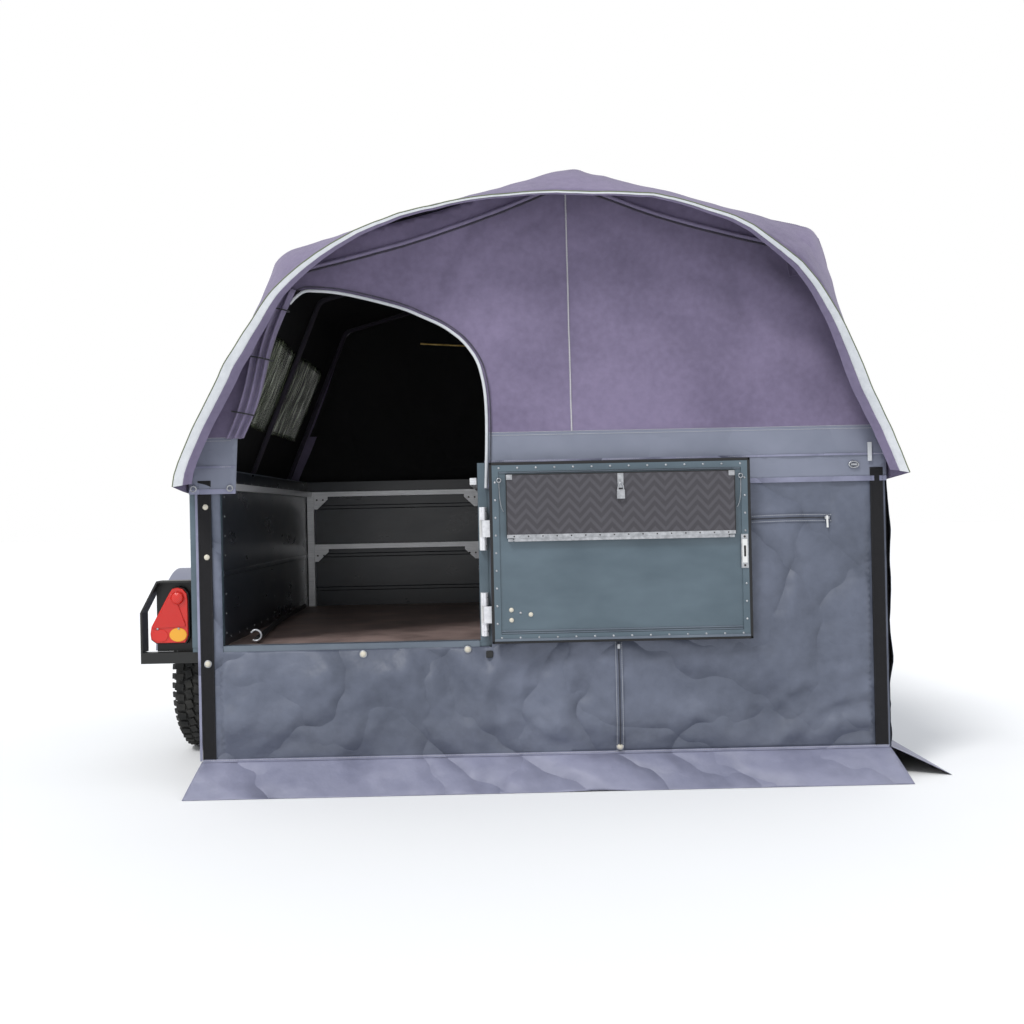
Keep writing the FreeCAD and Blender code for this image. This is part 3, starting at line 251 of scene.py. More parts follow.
def coat_paint(name, light, dark, rough=0.38):
    """Coil-coated sheet metal with a light orange peel and smears."""
    paint = Paint(name, Coat_Roughness=0.2)
    smears = paint.noise(4, 6, (1, 1, 2.2))
    paint.set("Base Color", between(paint, smears.over(0.3, 0.4), dark, light))
    paint.set("Roughness", rough + smears * 0.2 - 0.1)
    paint.set("Coat Weight", 0.12)
    return paint.bump(paint.noise(340, 2), 0.0003, 0.4).material


def plastic_paint(name, light, dark, rough, grain=500):
    paint = Paint(name)
    clouds = paint.noise(11, 4)
    paint.set("Base Color", between(paint, clouds, dark, light))
    paint.set("Roughness", rough + clouds * 0.12 - 0.06)
    return paint.bump(paint.noise(grain, 2), 0.0005, 0.4).material


def plywood_paint():
    """Film-faced plywood: brown, with the wire-mesh print of its top and pale scratches."""
    paint = Paint("Film-faced plywood")
    x, y, _ = paint.axes()
    mesh = (x * 620).maths("SINE") * (y * 620).maths("SINE")
    stains = paint.noise(6, 6)
    scratch = paint.noise(13, 5, (0.15, 3, 1)).over(0.62, 0.02) * 0.25
    colour = between(paint, stains.over(0.3, 0.4), (104, 88, 84), (158, 136, 130))
    paint.set("Base Color", paint.mix(scratch, colour, tone(150, 130, 122)))
    paint.set("Roughness", 0.36 + stains * 0.3)
    return paint.bump(mesh, 0.0005, 0.35).material


def diamond_paint():
    """Rows of small pressed chevrons on the table's grey top."""
    paint = Paint("Pressed chevrons")
    x, _, z = paint.axes()
    zigzag = (x + 40).maths("PINGPONG", 0.042) * 1.1
    rows = ((z + zigzag) * (math.tau / 0.04)).maths("SINE")
    ridge = rows.over(-0.3, 0.9)
    wear = paint.noise(16, 5)
    colour = between(paint, ridge * 0.6 + wear * 0.4, (56, 54, 59), (78, 76, 82))
    paint.set("Base Color", colour)
    paint.set("Roughness", 0.62 - ridge * 0.08)
    return paint.bump(ridge, 0.0008, 0.7).material


def film_paint(name, tint):
    """Clear soft film, streaked from top to bottom by the light behind it."""
    paint = Paint(name)
    streaks = paint.noise(9, 5, (1, 6, 0.5))
    paint.set("Base Color", between(paint, streaks.over(0.36, 0.28), (30, 36, 34), tint))
    paint.set("Roughness", 0.14 + streaks * 0.2)
    paint.set("Alpha", 0.9 - streaks.over(0.42, 0.25) * 0.22)
    return paint.bump(paint.noise(7, 3, (1, 3, 0.6)), 0.004, 0.5).material


def lens_paint(name, light, dark, ribs=260):
    """A moulded lens with small optics in its face."""
    paint = Paint(name, Coat_Roughness=0.05)
    x, _, z = paint.axes()
    prisms = (x * ribs * 3).maths("SINE") * (z * ribs * 3).maths("SINE")
    paint.set("Base Color", between(paint, prisms * 0.3 + 0.6, dark, light))
    paint.set("Roughness", 0.16 + paint.noise(20, 3) * 0.08)
    paint.set("Coat Weight", 0.25)
    return paint.bump(prisms, 0.0006, 0.6).material


def tyre_paint():
    paint = Paint("Tyre rubber")
    dust = paint.noise(18, 5)
    paint.set("Base Color", between(paint, dust.over(0.4, 0.35), (27, 28, 28), (62, 61, 58)))
    paint.set("Roughness", 0.82 + dust * 0.12)
    return paint.bump(paint.noise(260, 3), 0.0008, 0.6).material


def hook_tape_paint():
    paint = Paint("Hook-and-loop tape", Sheen_Weight=0.04)
    fuzz = paint.noise(1300, 2)
    paint.set("Base Color", between(paint, fuzz * 0.5 + paint.noise(40, 4) * 0.5, (7, 6, 9), (26, 25, 29)))
    paint.set("Roughness", 0.9 + fuzz * 0.08)
    return paint.bump(fuzz, 0.0016, 1.0).material


PAINTS = {}


def mix_paints():
    PAINTS.update({
        "canvas": cloth_paint("Canvas", (130, 119, 148), (100, 91, 117), BAND_HIGH),
        "canvas plain": cloth_paint("Canvas without its band", (134, 124, 153), (106, 98, 124)),
        # painted shade: the end walls' inner faces, near black as the shade inside the tent
        "inner face shade": cloth_paint("Inner faces in painted shade", (16, 15, 19), (8, 8, 10)),
        "roof underside shade": roof_underside_with_painted_shade(),
        # painted shadow: a dark canvas tone for the shade pocket under the bow sleeves; the tent bows are given it too
        "crease": cloth_paint("Deep crease", (58, 52, 68), (40, 36, 48)),
        "skirt": coated_paint("Coated skirt", (106, 112, 129), (70, 76, 90)),
        # painted shade: the backs of the skirts and mud flaps, the same coated cloth made near black for the shade
        # under the trailer
        "skirt back shade": coated_paint("Back of the coated skirt in painted shade", (36, 38, 42), (24, 25, 28)),
        # the coated cloth's own blue-grey, painted paler as the skylight on the mud flaps' upturned slope; the hems
        # and welts use it too
        "flap skylit": coated_paint("Mud flap, painted paler for skylight", (144, 145, 168), (112, 115, 137)),
        "strip": cloth_paint("Pale edge strip", (222, 224, 226), (186, 190, 195)),
        "olive": cloth_paint("Olive edge cord", (112, 120, 92), (84, 92, 70)),
        "silver": metal_paint("Bright plate", (240, 240, 243), (214, 215, 219), 0.25, 0.3),
        "thread": cloth_paint("White thread", (232, 232, 230), (205, 204, 205)),
        "black tape": cloth_paint("Black tape", (46, 46, 52), (24, 24, 28)),
        "hook tape": hook_tape_paint(),
        "box": coat_paint("Blue-grey coil coat", (88, 104, 114), (72, 88, 98)),
        "box dark": coat_paint("Shaded inner panel", (44, 49, 58), (27, 31, 39), 0.3),
        "frame": coat_paint("Blue-grey frame profile", (104, 114, 125), (84, 94, 107), 0.34),
        "black": coat_paint("Black chassis coat", (16, 18, 17), (7, 8, 8), 0.5),
        "zinc": metal_paint("Zinc plate", (190, 192, 196), (150, 152, 156), 0.85, 0.36),
        "aluminium": metal_paint("Aluminium profile", (238, 238, 240), (212, 213, 216), 0.3, 0.34, (0.2, 6, 6)),
        "brass": metal_paint("Brass rod", (206, 176, 110), (150, 122, 70), 0.9, 0.3),
        "rim": metal_paint("Silver rim coat", (176, 179, 184), (140, 143, 149), 0.5, 0.4),
        "iron": metal_paint("Cast iron", (76, 72, 70), (46, 43, 42), 0.4, 0.65),
        "plywood": plywood_paint(),
        "table": diamond_paint(),
        "rubber": plastic_paint("Black rubber", (32, 32, 34), (18, 18, 20), 0.7),
        "mudguard": plastic_paint("Mudguard plastic", (144, 146, 162), (122, 124, 140), 0.6),
        "cream": plastic_paint("Cream snap", (226, 220, 204), (196, 188, 170), 0.35),
        "white": plastic_paint("White plastic", (236, 236, 234), (208, 208, 206), 0.4),
        "red": lens_paint("Red lens", (236, 44, 30), (150, 10, 8)),
        "reflector": lens_paint("Red reflector", (226, 34, 20), (150, 12, 8), 420),
        "amber": lens_paint("Amber lens", (248, 190, 52), (214, 124, 20)),
        "tyre": tyre_paint(),
        "mattress": cloth_paint("Mattress cover", (74, 74, 80), (50, 50, 56)),
        "green film": film_paint("Window film", (150, 164, 128)),
    })


# ---------------------------------------------------------------- pieces


def finish_piece(piece, body, slot, *stands_for):
    if body:
        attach(piece, body)
    if stands_for:
        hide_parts(*stands_for)
    return piece


def piece_from(name, points, faces, paint, body=None, slot=None, smooth=True):
    mesh = bpy.data.meshes.new(name)
    mesh.from_pydata([tuple(p) for p in points], [], faces)
    mesh.materials.append(PAINTS[paint])
    for face in mesh.polygons:
        face.use_smooth = smooth
    piece = bpy.data.objects.new(name, mesh)
    bpy.context.collection.objects.link(piece)
    return finish_piece(piece, body, slot) if body else piece


def from_bmesh(name, work, paint, body, slot, smooth=True):
    bmesh.ops.recalc_face_normals(work, faces=work.faces)
    mesh = bpy.data.meshes.new(name)
    work.to_mesh(mesh)
    work.free()
    mesh.materials.append(PAINTS[paint])
    for face in mesh.polygons:
        face.use_smooth = smooth
    piece = bpy.data.objects.new(name, mesh)
    bpy.context.collection.objects.link(piece)
    return finish_piece(piece, body, slot) if body else piece


def add_block(work, low, high, round_edge=0.002, turn=None):
    """A block with rounded edges between two corners."""
    low, high = Vector(low), Vector(high)
    made = bmesh.ops.create_cube(work, size=1)
    corners = made["verts"]
    place = Matrix.Translation((low + high) / 2)
    if turn:
        place = place @ turn
    place = place @ Matrix.Diagonal((*(high - low), 1))
    bmesh.ops.transform(work, matrix=place, verts=corners)
    edges = {edge for corner in corners for edge in corner.link_edges}
    limit = min(round_edge, min(high - low) * 0.45)
    bmesh.ops.bevel(work, geom=list(edges), offset=limit, segments=2, affect="EDGES", profile=0.6)


def blocks(name, pairs, paint, body, slot, round_edge=0.002):
    work = bmesh.new()
    for low, high in pairs:
        add_block(work, low, high, round_edge)
    return from_bmesh(name, work, paint, body, slot, False)


def rod(name, path, radius, paint, body, slot, closed=False, sides=4):
    """A round bar or cord along a smooth path."""
    curve = bpy.data.curves.new(name, "CURVE")
    curve.dimensions = "3D"
    curve.bevel_depth = radius
    curve.bevel_resolution = sides
    curve.use_fill_caps = True
    line = curve.splines.new("POLY")
    line.points.add(len(path) - 1)
    for point, place in zip(line.points, path):
        point.co = (*place, 1)
    line.use_cyclic_u = closed
    holder = bpy.data.objects.new(name, curve)
    bpy.context.collection.objects.link(holder)
    mesh = bpy.data.meshes.new_from_object(holder.evaluated_get(bpy.context.evaluated_depsgraph_get()))
    bpy.data.objects.remove(holder)
    mesh.materials.clear()
    mesh.materials.append(PAINTS[paint])
    for face in mesh.polygons:
        face.use_smooth = True
    piece = bpy.data.objects.new(name, mesh)
    bpy.context.collection.objects.link(piece)
    return finish_piece(piece, body, slot)


def ribbon(name, path, side, width, thick, paint, body, slot):
    """A flat strip along a path: side(i) points across it, lying in the cloth; width is one for each point, or one."""
    widths = width if isinstance(width, list) else [width] * len(path)
    points, faces = [], []
    for i, place in enumerate(path):
        ahead = (path[min(i + 1, len(path) - 1)] - path[max(i - 1, 0)]).normalized()
        across = side(i).normalized()
        out = ahead.cross(across).normalized()
        for sign, lift in ((-1, 0), (1, 0), (1, 1), (-1, 1)):
            points.append(place + across * sign * widths[i] / 2 + out * thick * lift)
    for i in range(len(path) - 1):
        for k in range(4):
            a, b = 4 * i + k, 4 * i + (k + 1) % 4
            faces.append((a, b, b + 4, a + 4))
    faces += [(3, 2, 1, 0), tuple(4 * (len(path) - 1) + k for k in range(4))]
    work = bmesh.new()
    corners = [work.verts.new(p) for p in points]
    for face in faces:
        work.faces.new([corners[k] for k in face])
    return from_bmesh(name, work, paint, body, slot, False)


def lathe(work, profile, centre, sides=64):
    """Turns (along X, radius) pairs about the X axis through a centre."""
    rows = []
    for along, radius in profile:
        row = []
        for k in range(sides):
            angle = math.tau * k / sides
            row.append(work.verts.new(centre + Vector((along, radius * math.cos(angle), radius * math.sin(angle)))))
        rows.append(row)
    for first, second in zip(rows, rows[1:]):
        for k in range(sides):
            work.faces.new((first[k], first[(k + 1) % sides], second[(k + 1) % sides], second[k]))
    return rows


# ---------------------------------------------------------------- things that repeat


def repeat_tree(paint):
    """Puts a shape on every vertex, its Z along the attribute "out" and its X along "along"."""
    tree = bpy.data.node_groups.new("Repeat", "GeometryNodeTree")
    face = tree.interface
    face.new_socket("Places", in_out="INPUT", socket_type="NodeSocketGeometry")
    shape = face.new_socket("Shape", in_out="INPUT", socket_type="NodeSocketObject")
    size = face.new_socket("Size", in_out="INPUT", socket_type="NodeSocketFloat")
    spread = face.new_socket("Unevenness", in_out="INPUT", socket_type="NodeSocketFloat")
    seed = face.new_socket("Seed", in_out="INPUT", socket_type="NodeSocketInt")
    face.new_socket("Result", in_out="OUTPUT", socket_type="NodeSocketGeometry")

    def node(kind, **settings):
        made = tree.nodes.new(kind)
        for key, value in settings.items():
            setattr(made, key, value)
        return made
    given, result = node("NodeGroupInput"), node("NodeGroupOutput")
    info = node("GeometryNodeObjectInfo")
    turns = []
    for name, axis, pivot in (("along", "X", "AUTO"), ("out", "Z", "X")):
        read = node("GeometryNodeInputNamedAttribute", data_type="FLOAT_VECTOR")
        read.inputs["Name"].default_value = name
        turn = node("FunctionNodeAlignRotationToVector", axis=axis, pivot_axis=pivot)
        tree.links.new(read.outputs["Attribute"], turn.inputs["Vector"])
        turns.append(turn)
    random = node("FunctionNodeRandomValue", data_type="FLOAT")
    low = node("ShaderNodeMath", operation="SUBTRACT")
    high = node("ShaderNodeMath", operation="ADD")
    place, real = node("GeometryNodeInstanceOnPoints"), node("GeometryNodeRealizeInstances")
    coat = node("GeometryNodeSetMaterial")
    coat.inputs["Material"].default_value = PAINTS[paint]
    for first, second in (
            (given.outputs["Places"], place.inputs["Points"]), (given.outputs["Shape"], info.inputs["Object"]),
            (info.outputs["Geometry"], place.inputs["Instance"]), (turns[0].outputs[0], turns[1].inputs["Rotation"]),
            (turns[1].outputs[0], place.inputs["Rotation"]), (given.outputs["Size"], low.inputs[0]),
            (given.outputs["Unevenness"], low.inputs[1]), (given.outputs["Size"], high.inputs[0]),
            (given.outputs["Unevenness"], high.inputs[1]), (low.outputs[0], random.inputs[2]),
            (high.outputs[0], random.inputs[3]), (given.outputs["Seed"], random.inputs["Seed"]),
            (random.outputs[1], place.inputs["Scale"]), (place.outputs[0], real.inputs[0]),
            (real.outputs[0], coat.inputs[0]), (coat.outputs[0], result.inputs[0])):
        tree.links.new(first, second)
    return tree, {"Shape": shape, "Size": size, "Unevenness": spread, "Seed": seed}


def repeat(name, work, places, paint, body, slot, unevenness=0.0, smooth=True):
    """One mesh of a small shape at every (place, out, along)."""
    bmesh.ops.recalc_face_normals(work, faces=work.faces)
    shape_mesh = bpy.data.meshes.new(name + ".shape")
    work.to_mesh(shape_mesh)
    work.free()
    for face in shape_mesh.polygons:
        face.use_smooth = smooth
    shape = bpy.data.objects.new(name + ".shape", shape_mesh)
    mesh = bpy.data.meshes.new(name)
    mesh.from_pydata([tuple(p) for p, _, _ in places], [], [])
    for key, index in (("out", 1), ("along", 2)):
        column = mesh.attributes.new(key, "FLOAT_VECTOR", "POINT")
        column.data.foreach_set("vector", [c for row in places for c in Vector(row[index]).normalized()])
    piece = bpy.data.objects.new(name, mesh)
    bpy.context.collection.objects.link(piece)
    tree, sockets = repeat_tree(paint)
    modifier = piece.modifiers.new("Repeat", "NODES")
    modifier.node_group = tree
    for key, value in (("Shape", shape), ("Size", 1.0), ("Unevenness", unevenness), ("Seed", 7)):
        modifier[sockets[key].identifier] = value
    seen = piece.evaluated_get(bpy.context.evaluated_depsgraph_get())
    piece.data = bpy.data.meshes.new_from_object(seen)
    piece.modifiers.clear()
    piece.data.materials.clear()
    piece.data.materials.append(PAINTS[paint])
    bpy.data.objects.remove(shape)
    bpy.data.node_groups.remove(tree)
    return finish_piece(piece, body, slot)


def dome(radius, height, sides=14):
    """A domed head on a thin rim, standing on its Z."""
    work = bmesh.new()
    profile = [(radius, 0), (radius * 1.02, height * 0.25), (radius * 0.86, height * 0.62),
               (radius * 0.5, height * 0.93)]
    rows = []
    for across, up in profile:
        rows.append([work.verts.new((across * math.cos(math.tau * k / sides),
                                     across * math.sin(math.tau * k / sides), up)) for k in range(sides)])
    for first, second in zip(rows, rows[1:]):
        for k in range(sides):
            work.faces.new((first[k], first[(k + 1) % sides], second[(k + 1) % sides], second[k]))
    top = work.verts.new((0, 0, height))
    for k in range(sides):
        work.faces.new((rows[-1][k], rows[-1][(k + 1) % sides], top))
    work.faces.new(rows[0][::-1])
    return work


def stitch(length, thick):
    work = bmesh.new()
    made = bmesh.ops.create_uvsphere(work, u_segments=6, v_segments=4, radius=0.5)
    bmesh.ops.transform(work, matrix=Matrix.Diagonal((length, thick, thick, 1)), verts=made["verts"])
    return work


def bar(length, width, height, round_edge=0.001):
    work = bmesh.new()
    add_block(work, (-length / 2, -width / 2, 0), (length / 2, width / 2, height), round_edge)
    return work


def line_places(points, step, out, inset=0.0):
    """(place, out, along) every step along a run of points."""
    places, left = [], inset
    for first, second in zip(points, points[1:]):
        run = second - first
        length = run.length
        while left < length:
            places.append((first + run * (left / length), out, run))
            left += step
        left -= length
    return places


def sew(name, points, out, body, slot, step=0.008, paint="thread"):
    """A row of stitches along a seam."""
    return repeat(name, stitch(step * 0.72, 0.0016), line_places(points, step, out), paint, body, slot, 0.08)


# ---------------------------------------------------------------- sheets of cloth


def resample(ring, step):
    points = []
    for a, b in zip(ring, ring[1:] + ring[:1]):
        a, b = Vector(a), Vector(b)
        count = max(1, round((b - a).length / step))
        points += [a.lerp(b, i / count) for i in range(count)]
    return points


def inside_all(points, rings):
    """Even-odd test of many points against an outline and its holes."""
    result = np.zeros(len(points), bool)
    x, y = points[:, 0], points[:, 1]
    for ring in rings:
        for (x1, y1), (x2, y2) in zip(ring, ring[1:] + ring[:1]):
            if y1 == y2:
                continue
            crosses = ((y1 > y) != (y2 > y)) & (x < (x2 - x1) * (y - y1) / (y2 - y1) + x1)
            result ^= crosses
    return result


def cloth(name, outline, holes, step, place, paints, slot, flip=False, thick=0.001, body="trailer"):
    """A sheet cut to a flat outline with holes, and put in its place by place(u, v)."""
    rings = [resample(ring, step) for ring in (outline, *holes)]
    points, edges = [], []
    for ring in rings:
        first = len(points)
        points += [tuple(p) for p in ring]
        edges += [(first + i, first + (i + 1) % len(ring)) for i in range(len(ring))]
    flat = [[tuple(p) for p in ring] for ring in rings]
    rim = np.array(points)
    low, high = rim.min(axis=0), rim.max(axis=0)
    rows = np.arange(low[1] + step / 2, high[1], step * 0.87)
    grid = np.array([(u + (step / 2 if k % 2 else 0), v) for k, v in enumerate(rows)
                     for u in np.arange(low[0] + step / 2, high[0], step)])
    grid = grid[inside_all(grid, flat)]
    near = np.full(len(grid), np.inf)
    for p in rim:
        near = np.minimum(near, np.hypot(grid[:, 0] - p[0], grid[:, 1] - p[1]))
    points += [tuple(p) for p in grid[near > step * 0.6]]
    corners, _, faces, *_ = delaunay_2d_cdt([Vector(p) for p in points], edges, [], 0, 1e-7)
    corner_table = np.array([tuple(c) for c in corners])
    centres = np.array([corner_table[list(f)].mean(axis=0) for f in faces])
    kept = inside_all(centres, flat)
    faces = [tuple(reversed(f)) if flip else tuple(f) for f, keep in zip(faces, kept) if keep]
    used = sorted({k for f in faces for k in f})
    again = {k: i for i, k in enumerate(used)}
    piece = piece_from(name, [place(*corners[k]) for k in used],
                       [tuple(again[k] for k in f) for f in faces], paints[0])
    for extra in paints[1:]:
        piece.data.materials.append(PAINTS[extra])
    shell = piece.modifiers.new("Thickness", "SOLIDIFY")
    shell.thickness, shell.offset, shell.use_rim = thick, -1, True
    shell.material_offset = 1 if len(paints) > 1 else 0
    finish_piece(piece, body, slot)
    return piece


def ridged(x, y, seed):
    """Sharp creases: 1 along them, falling away evenly to both sides."""
    return 1 - abs(noise.noise(Vector((x, y, seed)))) * 2.6


def crumple(x, y, seed, size=1.0):
    """Soft folds with sharp creases between them, as a folded tarpaulin has."""
    warp = noise.noise(Vector((x * 1.3, y * 1.3, seed + 5))) * 0.6
    across, up = x / size + warp, y / size
    big = noise.noise(Vector((across * 1.9, up * 1.2, seed)))
    crease = ridged(across * 2.9 + up * 1.1, up * 2.3 - across * 0.9, seed + 1)
    slant = ridged(across * 4.4 - up * 3.1, up * 2.6 + across * 1.7 + warp, seed + 2)
    fine = ridged(across * 8.1 + up * 3.3, up * 7.4 - warp * 2, seed + 3)
    return 0.45 * big + 0.42 * max(crease, -0.6) + 0.26 * max(slant, -0.5) + 0.11 * max(fine, -0.4)


# ---------------------------------------------------------------- the tent

SECTION_X = (-HALF_BOX - 0.0053, BED_RIGHT + 0.011)
EAVE = WALL_TOP + 0.003


def halfway(first, second):
    return (first[0] + second[0]) / 2, (first[1] + second[1]) / 2


def main_section():
    corners = [(SECTION_X[0], EAVE), LEFT_SHOULDER, RIDGE, RIGHT_SHOULDER, (SECTION_X[1], EAVE)]
    points = [(SECTION_X[0], BAND_LOW)]
    for first, second in zip(corners, corners[1:]):
        points += [first, halfway(first, second)]
    return points + [corners[-1], (SECTION_X[1], BAND_LOW)]


MAIN = [Vector(p) for p in main_section()]
LIP_MOVES = ((-0.027, 0.024), (-0.012, 0), (0.03, 0.016), (0.09, -0.092), (-0.01, -0.028), (-0.018, -0.157),
             (-0.016, -0.058), (-0.11, -0.16), (0.002, -0.15), (0.01, 0), (0.04, 0.026))
LIP = [p + Vector(m) for p, m in zip(MAIN, LIP_MOVES)]
RUNS = np.concatenate([[0], np.cumsum([(b - a).length for a, b in zip(MAIN, MAIN[1:])])])


def on_line(points, share):
    share = min(max(share, 0), len(points) - 1)
    k = min(int(share), len(points) - 2)
    return points[k].lerp(points[k + 1], share - k)


def soft_line(points, share, width):
    """A point on a line whose corners are rounded over a width counted in its runs."""
    room = min(width, share, len(points) - 1 - share)
    return sum((on_line(points, share + room * k / 3) for k in range(-3, 4)), Vector((0, 0))) / 7


def share_of(u):
    return float(np.interp(u, RUNS, range(len(RUNS))))


def roof_place(u, y):
    """The roof's outside: u runs from the left hem over the ridge to the right hem."""
    share = share_of(u)
    main = soft_line(MAIN, share, 0.09)
    reach = min(max((BOW_Y - y) / (BOW_Y - LIP_Y), 0), 1)
    lip = soft_line(LIP, share, 0.5)
    point = main.lerp(lip, reach ** 1.25)
    inward = (Vector((RIDGE[0], 1.6)) - point).normalized()
    bay = math.sin(math.pi * max(0, (y - BOW_Y) / ((FRONT_Y - 2 * BOW_Y) / 2))) ** 2 if y > BOW_Y else 0
    slack = math.sin(math.pi * min(max((share - 1) % 2 / 2, 0), 1)) if 1 < share < 9 else 0
    ripple = 0.006 * crumple(u * 0.9, y * 1.4, 3) * (0.3 + slack)
    pulls = 0.010 * math.exp(-abs(y - BOW_Y) * 5) * noise.noise(Vector((u * 9, y * 2, 1)))
    flutter = reach * 0.012 * noise.noise(Vector((u * 4.2, 2, y * 3)))
    hem = 1 if 1 < share < 9 else 0.25
    point += inward * (0.024 * bay * slack + (ripple + abs(pulls)) * hem) + Vector((flutter, flutter * 0.6))
    return at(point.x, y, point.y)


def height_to_u(z, left):
    shoulder = LEFT_SHOULDER if left else RIGHT_SHOULDER
    part = (z - EAVE) / (shoulder[1] - EAVE)
    return RUNS[1] + (RUNS[3] - RUNS[1]) * part if left else RUNS[9] - (RUNS[9] - RUNS[7]) * part


def window_rings(grow=0.0):
    rings = []
    for left in (True, False):
        low, high = sorted((height_to_u(WINDOW_LOW, left), height_to_u(WINDOW_HIGH, left)))
        for start, end in WINDOWS:
            a, b, c, d = low - grow, high + grow, start - grow, end + grow
            rings.append([(a, c), (b, c), (b, d), (a, d)])
    return rings


def make_roof():
    width, end = float(RUNS[-1]), FRONT_Y + 0.028
    outline = [(0, LIP_Y), (width, LIP_Y), (width, end), (0, end)]
    roof = cloth("tent_roof_cloth", outline, window_rings(), 0.022, roof_place, ("canvas", "roof underside shade"), "canvas")
    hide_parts("tent_roof", "tent_rear_hood")
    edge = [roof_place(u, LIP_Y - 0.001) for u in np.linspace(0, width, 150)]
    inward = [(at(RIDGE[0], p.y - REAR_Y, 1.45) - p) * Vector((1, 0, 1)) for p in edge]
    inward = [v.normalized() for v in inward]
    sides = [min(abs(share_of(u) - 5) / 3, 1) ** 2 for u in np.linspace(0, width, 150)]
    wide = [0.008 + 0.032 * side for side in sides]
    strip = [a + v * w * 0.5 + Vector((0, -0.002, 0)) for a, v, w in zip(edge, inward, wide)]
    ribbon("lip_edge_strip", strip, lambda i: inward[i], wide, 0.002, "strip", "trailer", "canvas")
    lined = [0.006 + 0.034 * side for side in sides]
    turned = [a + v * (w + n * 0.45) + Vector((0, 0.004, 0)) for a, v, w, n in zip(edge, inward, wide, lined)]
    ribbon("lip_turned_in", turned, lambda i: inward[i] + Vector((0, 1.2, 0)), lined, 0.002, "canvas plain",
           "trailer", "canvas")
    rod("lip_piping", edge, 0.0030, "olive", "trailer", "canvas")
    for y, label in ((BOW_Y + 0.02, "rear"), (FRONT_Y / 2, "middle"), (FRONT_Y - BOW_Y - 0.02, "front")):
        for offset in (-0.02, 0.02):
            seam = [roof_place(u, y + offset) for u in np.linspace(0.12, width - 0.12, 170)]
            outward = [(p - at(RIDGE[0], y, 1.5)).normalized() for p in seam]
            places = []
            for a, b, out in zip(seam, seam[1:], outward):
                places += [(a.lerp(b, k / 3) + out * 0.0008, out, b - a) for k in range(3)]
            side = "a" if offset < 0 else "b"
            repeat(f"roof_seam_{label}_{side}", stitch(0.0062, 0.0016), places, "thread", "trailer", "canvas")


def make_windows():
    names = ("left_rear", "left_front", "right_rear", "right_front")
    grown = window_rings(0.012)
    for k, (label, ring) in enumerate(zip(names, grown)):

        def place(u, y):
            point = roof_place(u, y)
            inward = (at(RIDGE[0], y, 1.6) - point).normalized()
            return point + inward * (0.004 + 0.004 * noise.noise(Vector((u * 5, y * 7, 4))))
        pane = cloth(f"window_film_{label}", ring, [], 0.03, place, ("green film",), "film", False, 0.0008)
        size = (ring[1][0] - ring[0][0], ring[2][1] - ring[1][1])
        if label.endswith("rear"):
            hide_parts("window_left" if label.startswith("left") else "window_right")
        hole = window_rings(-0.006)[k]
        path = []
        for a, b in zip(hole, hole[1:] + hole[:1]):
            path += [Vector(a).lerp(Vector(b), i / 14) for i in range(14)]
        line = [roof_place(p.x, p.y) for p in path]
        line = [p - (at(RIDGE[0], p.y - REAR_Y, 1.6) - p).normalized() * 0.001 for p in line]
        rod(f"window_welt_{label}", line, 0.0045, "black tape", "trailer", "film", closed=True, sides=2)


def end_outline(room=0.012):
    """The end walls' outline, (x, z), from the low left corner: just inside the roof."""
    points = [Vector((SECTION_X[0] + 0.006, BAND_LOW)), Vector((SECTION_X[0] + 0.006, EAVE))]
    for share in np.linspace(1.5, 8.5, 60):
        point = soft_line(MAIN, share, 0.12)
        inward = (Vector((RIDGE[0], 1.5)) - point).normalized()
        points.append(point + inward * (room + 0.012 * math.sin(math.pi * (share - 1) / 2) ** 2))
    return points + [Vector((SECTION_X[1] - 0.006, EAVE)), Vector((SECTION_X[1] - 0.006, BAND_LOW))]


def doorway(grow=0.0):
    """The open doorway, from its low left corner: nearly straight edges and one large round at top right."""
    sharp = [(-0.447, BAND_LOW - 0.2), (-0.438, 1.396), (-0.236, 2.006)]
    top = [(-0.018, 1.988), (0.221, 1.922), (0.379, 1.851), (0.466, 1.785), (0.528, 1.696), (0.554, 1.575)]
    right = [(0.558, 1.415), (0.541, BAND_LOW - 0.2)]
    points = [Vector(p) for p in sharp + top + right]
    centre = Vector((0.1, 1.5))
    return [p + (p - centre).normalized() * grow for p in points]


def wall_lean(z):
    """How far in a point of an end wall lies: it hangs outside the box, then leans in to the bow."""
    rise = min(max((z - 1.31) / (RIDGE[1] - 1.31), 0), 1)
    return -0.0085 + rise * (BOW_Y + 0.006)


def rear_wall_place(x, z):
    depth = wall_lean(z)
    loose = min(max((z - BAND_SEAM) / 0.25, 0.12), 1)
    ripple = 0.024 * crumple(x * 0.75 + z * 0.3, z * 0.8, 21) * loose
    sway = math.sin(x * 15 + 3 * noise.noise(Vector((x * 3, z * 4, 9))))
    hang = 0.010 * sway * math.exp(-max(z - BAND_LOW, 0) * 7) * (x > 1.65 or x < -0.4)
    pull = 0.008 * math.sin((x - 1.9) * 12 + (z - 2.2) * 26) * math.exp(-math.hypot(x - 1.85, z - 2.1) * 2.2) * loose
    return at(x, depth + ripple + pull - abs(hang) * 0.8, z)


def front_wall_place(x, z):
    return at(x, FRONT_Y - wall_lean(z) + 0.010 * crumple(x * 0.8, z * 0.9, 33) * (0.2 if z < 1.3 else 1), z)


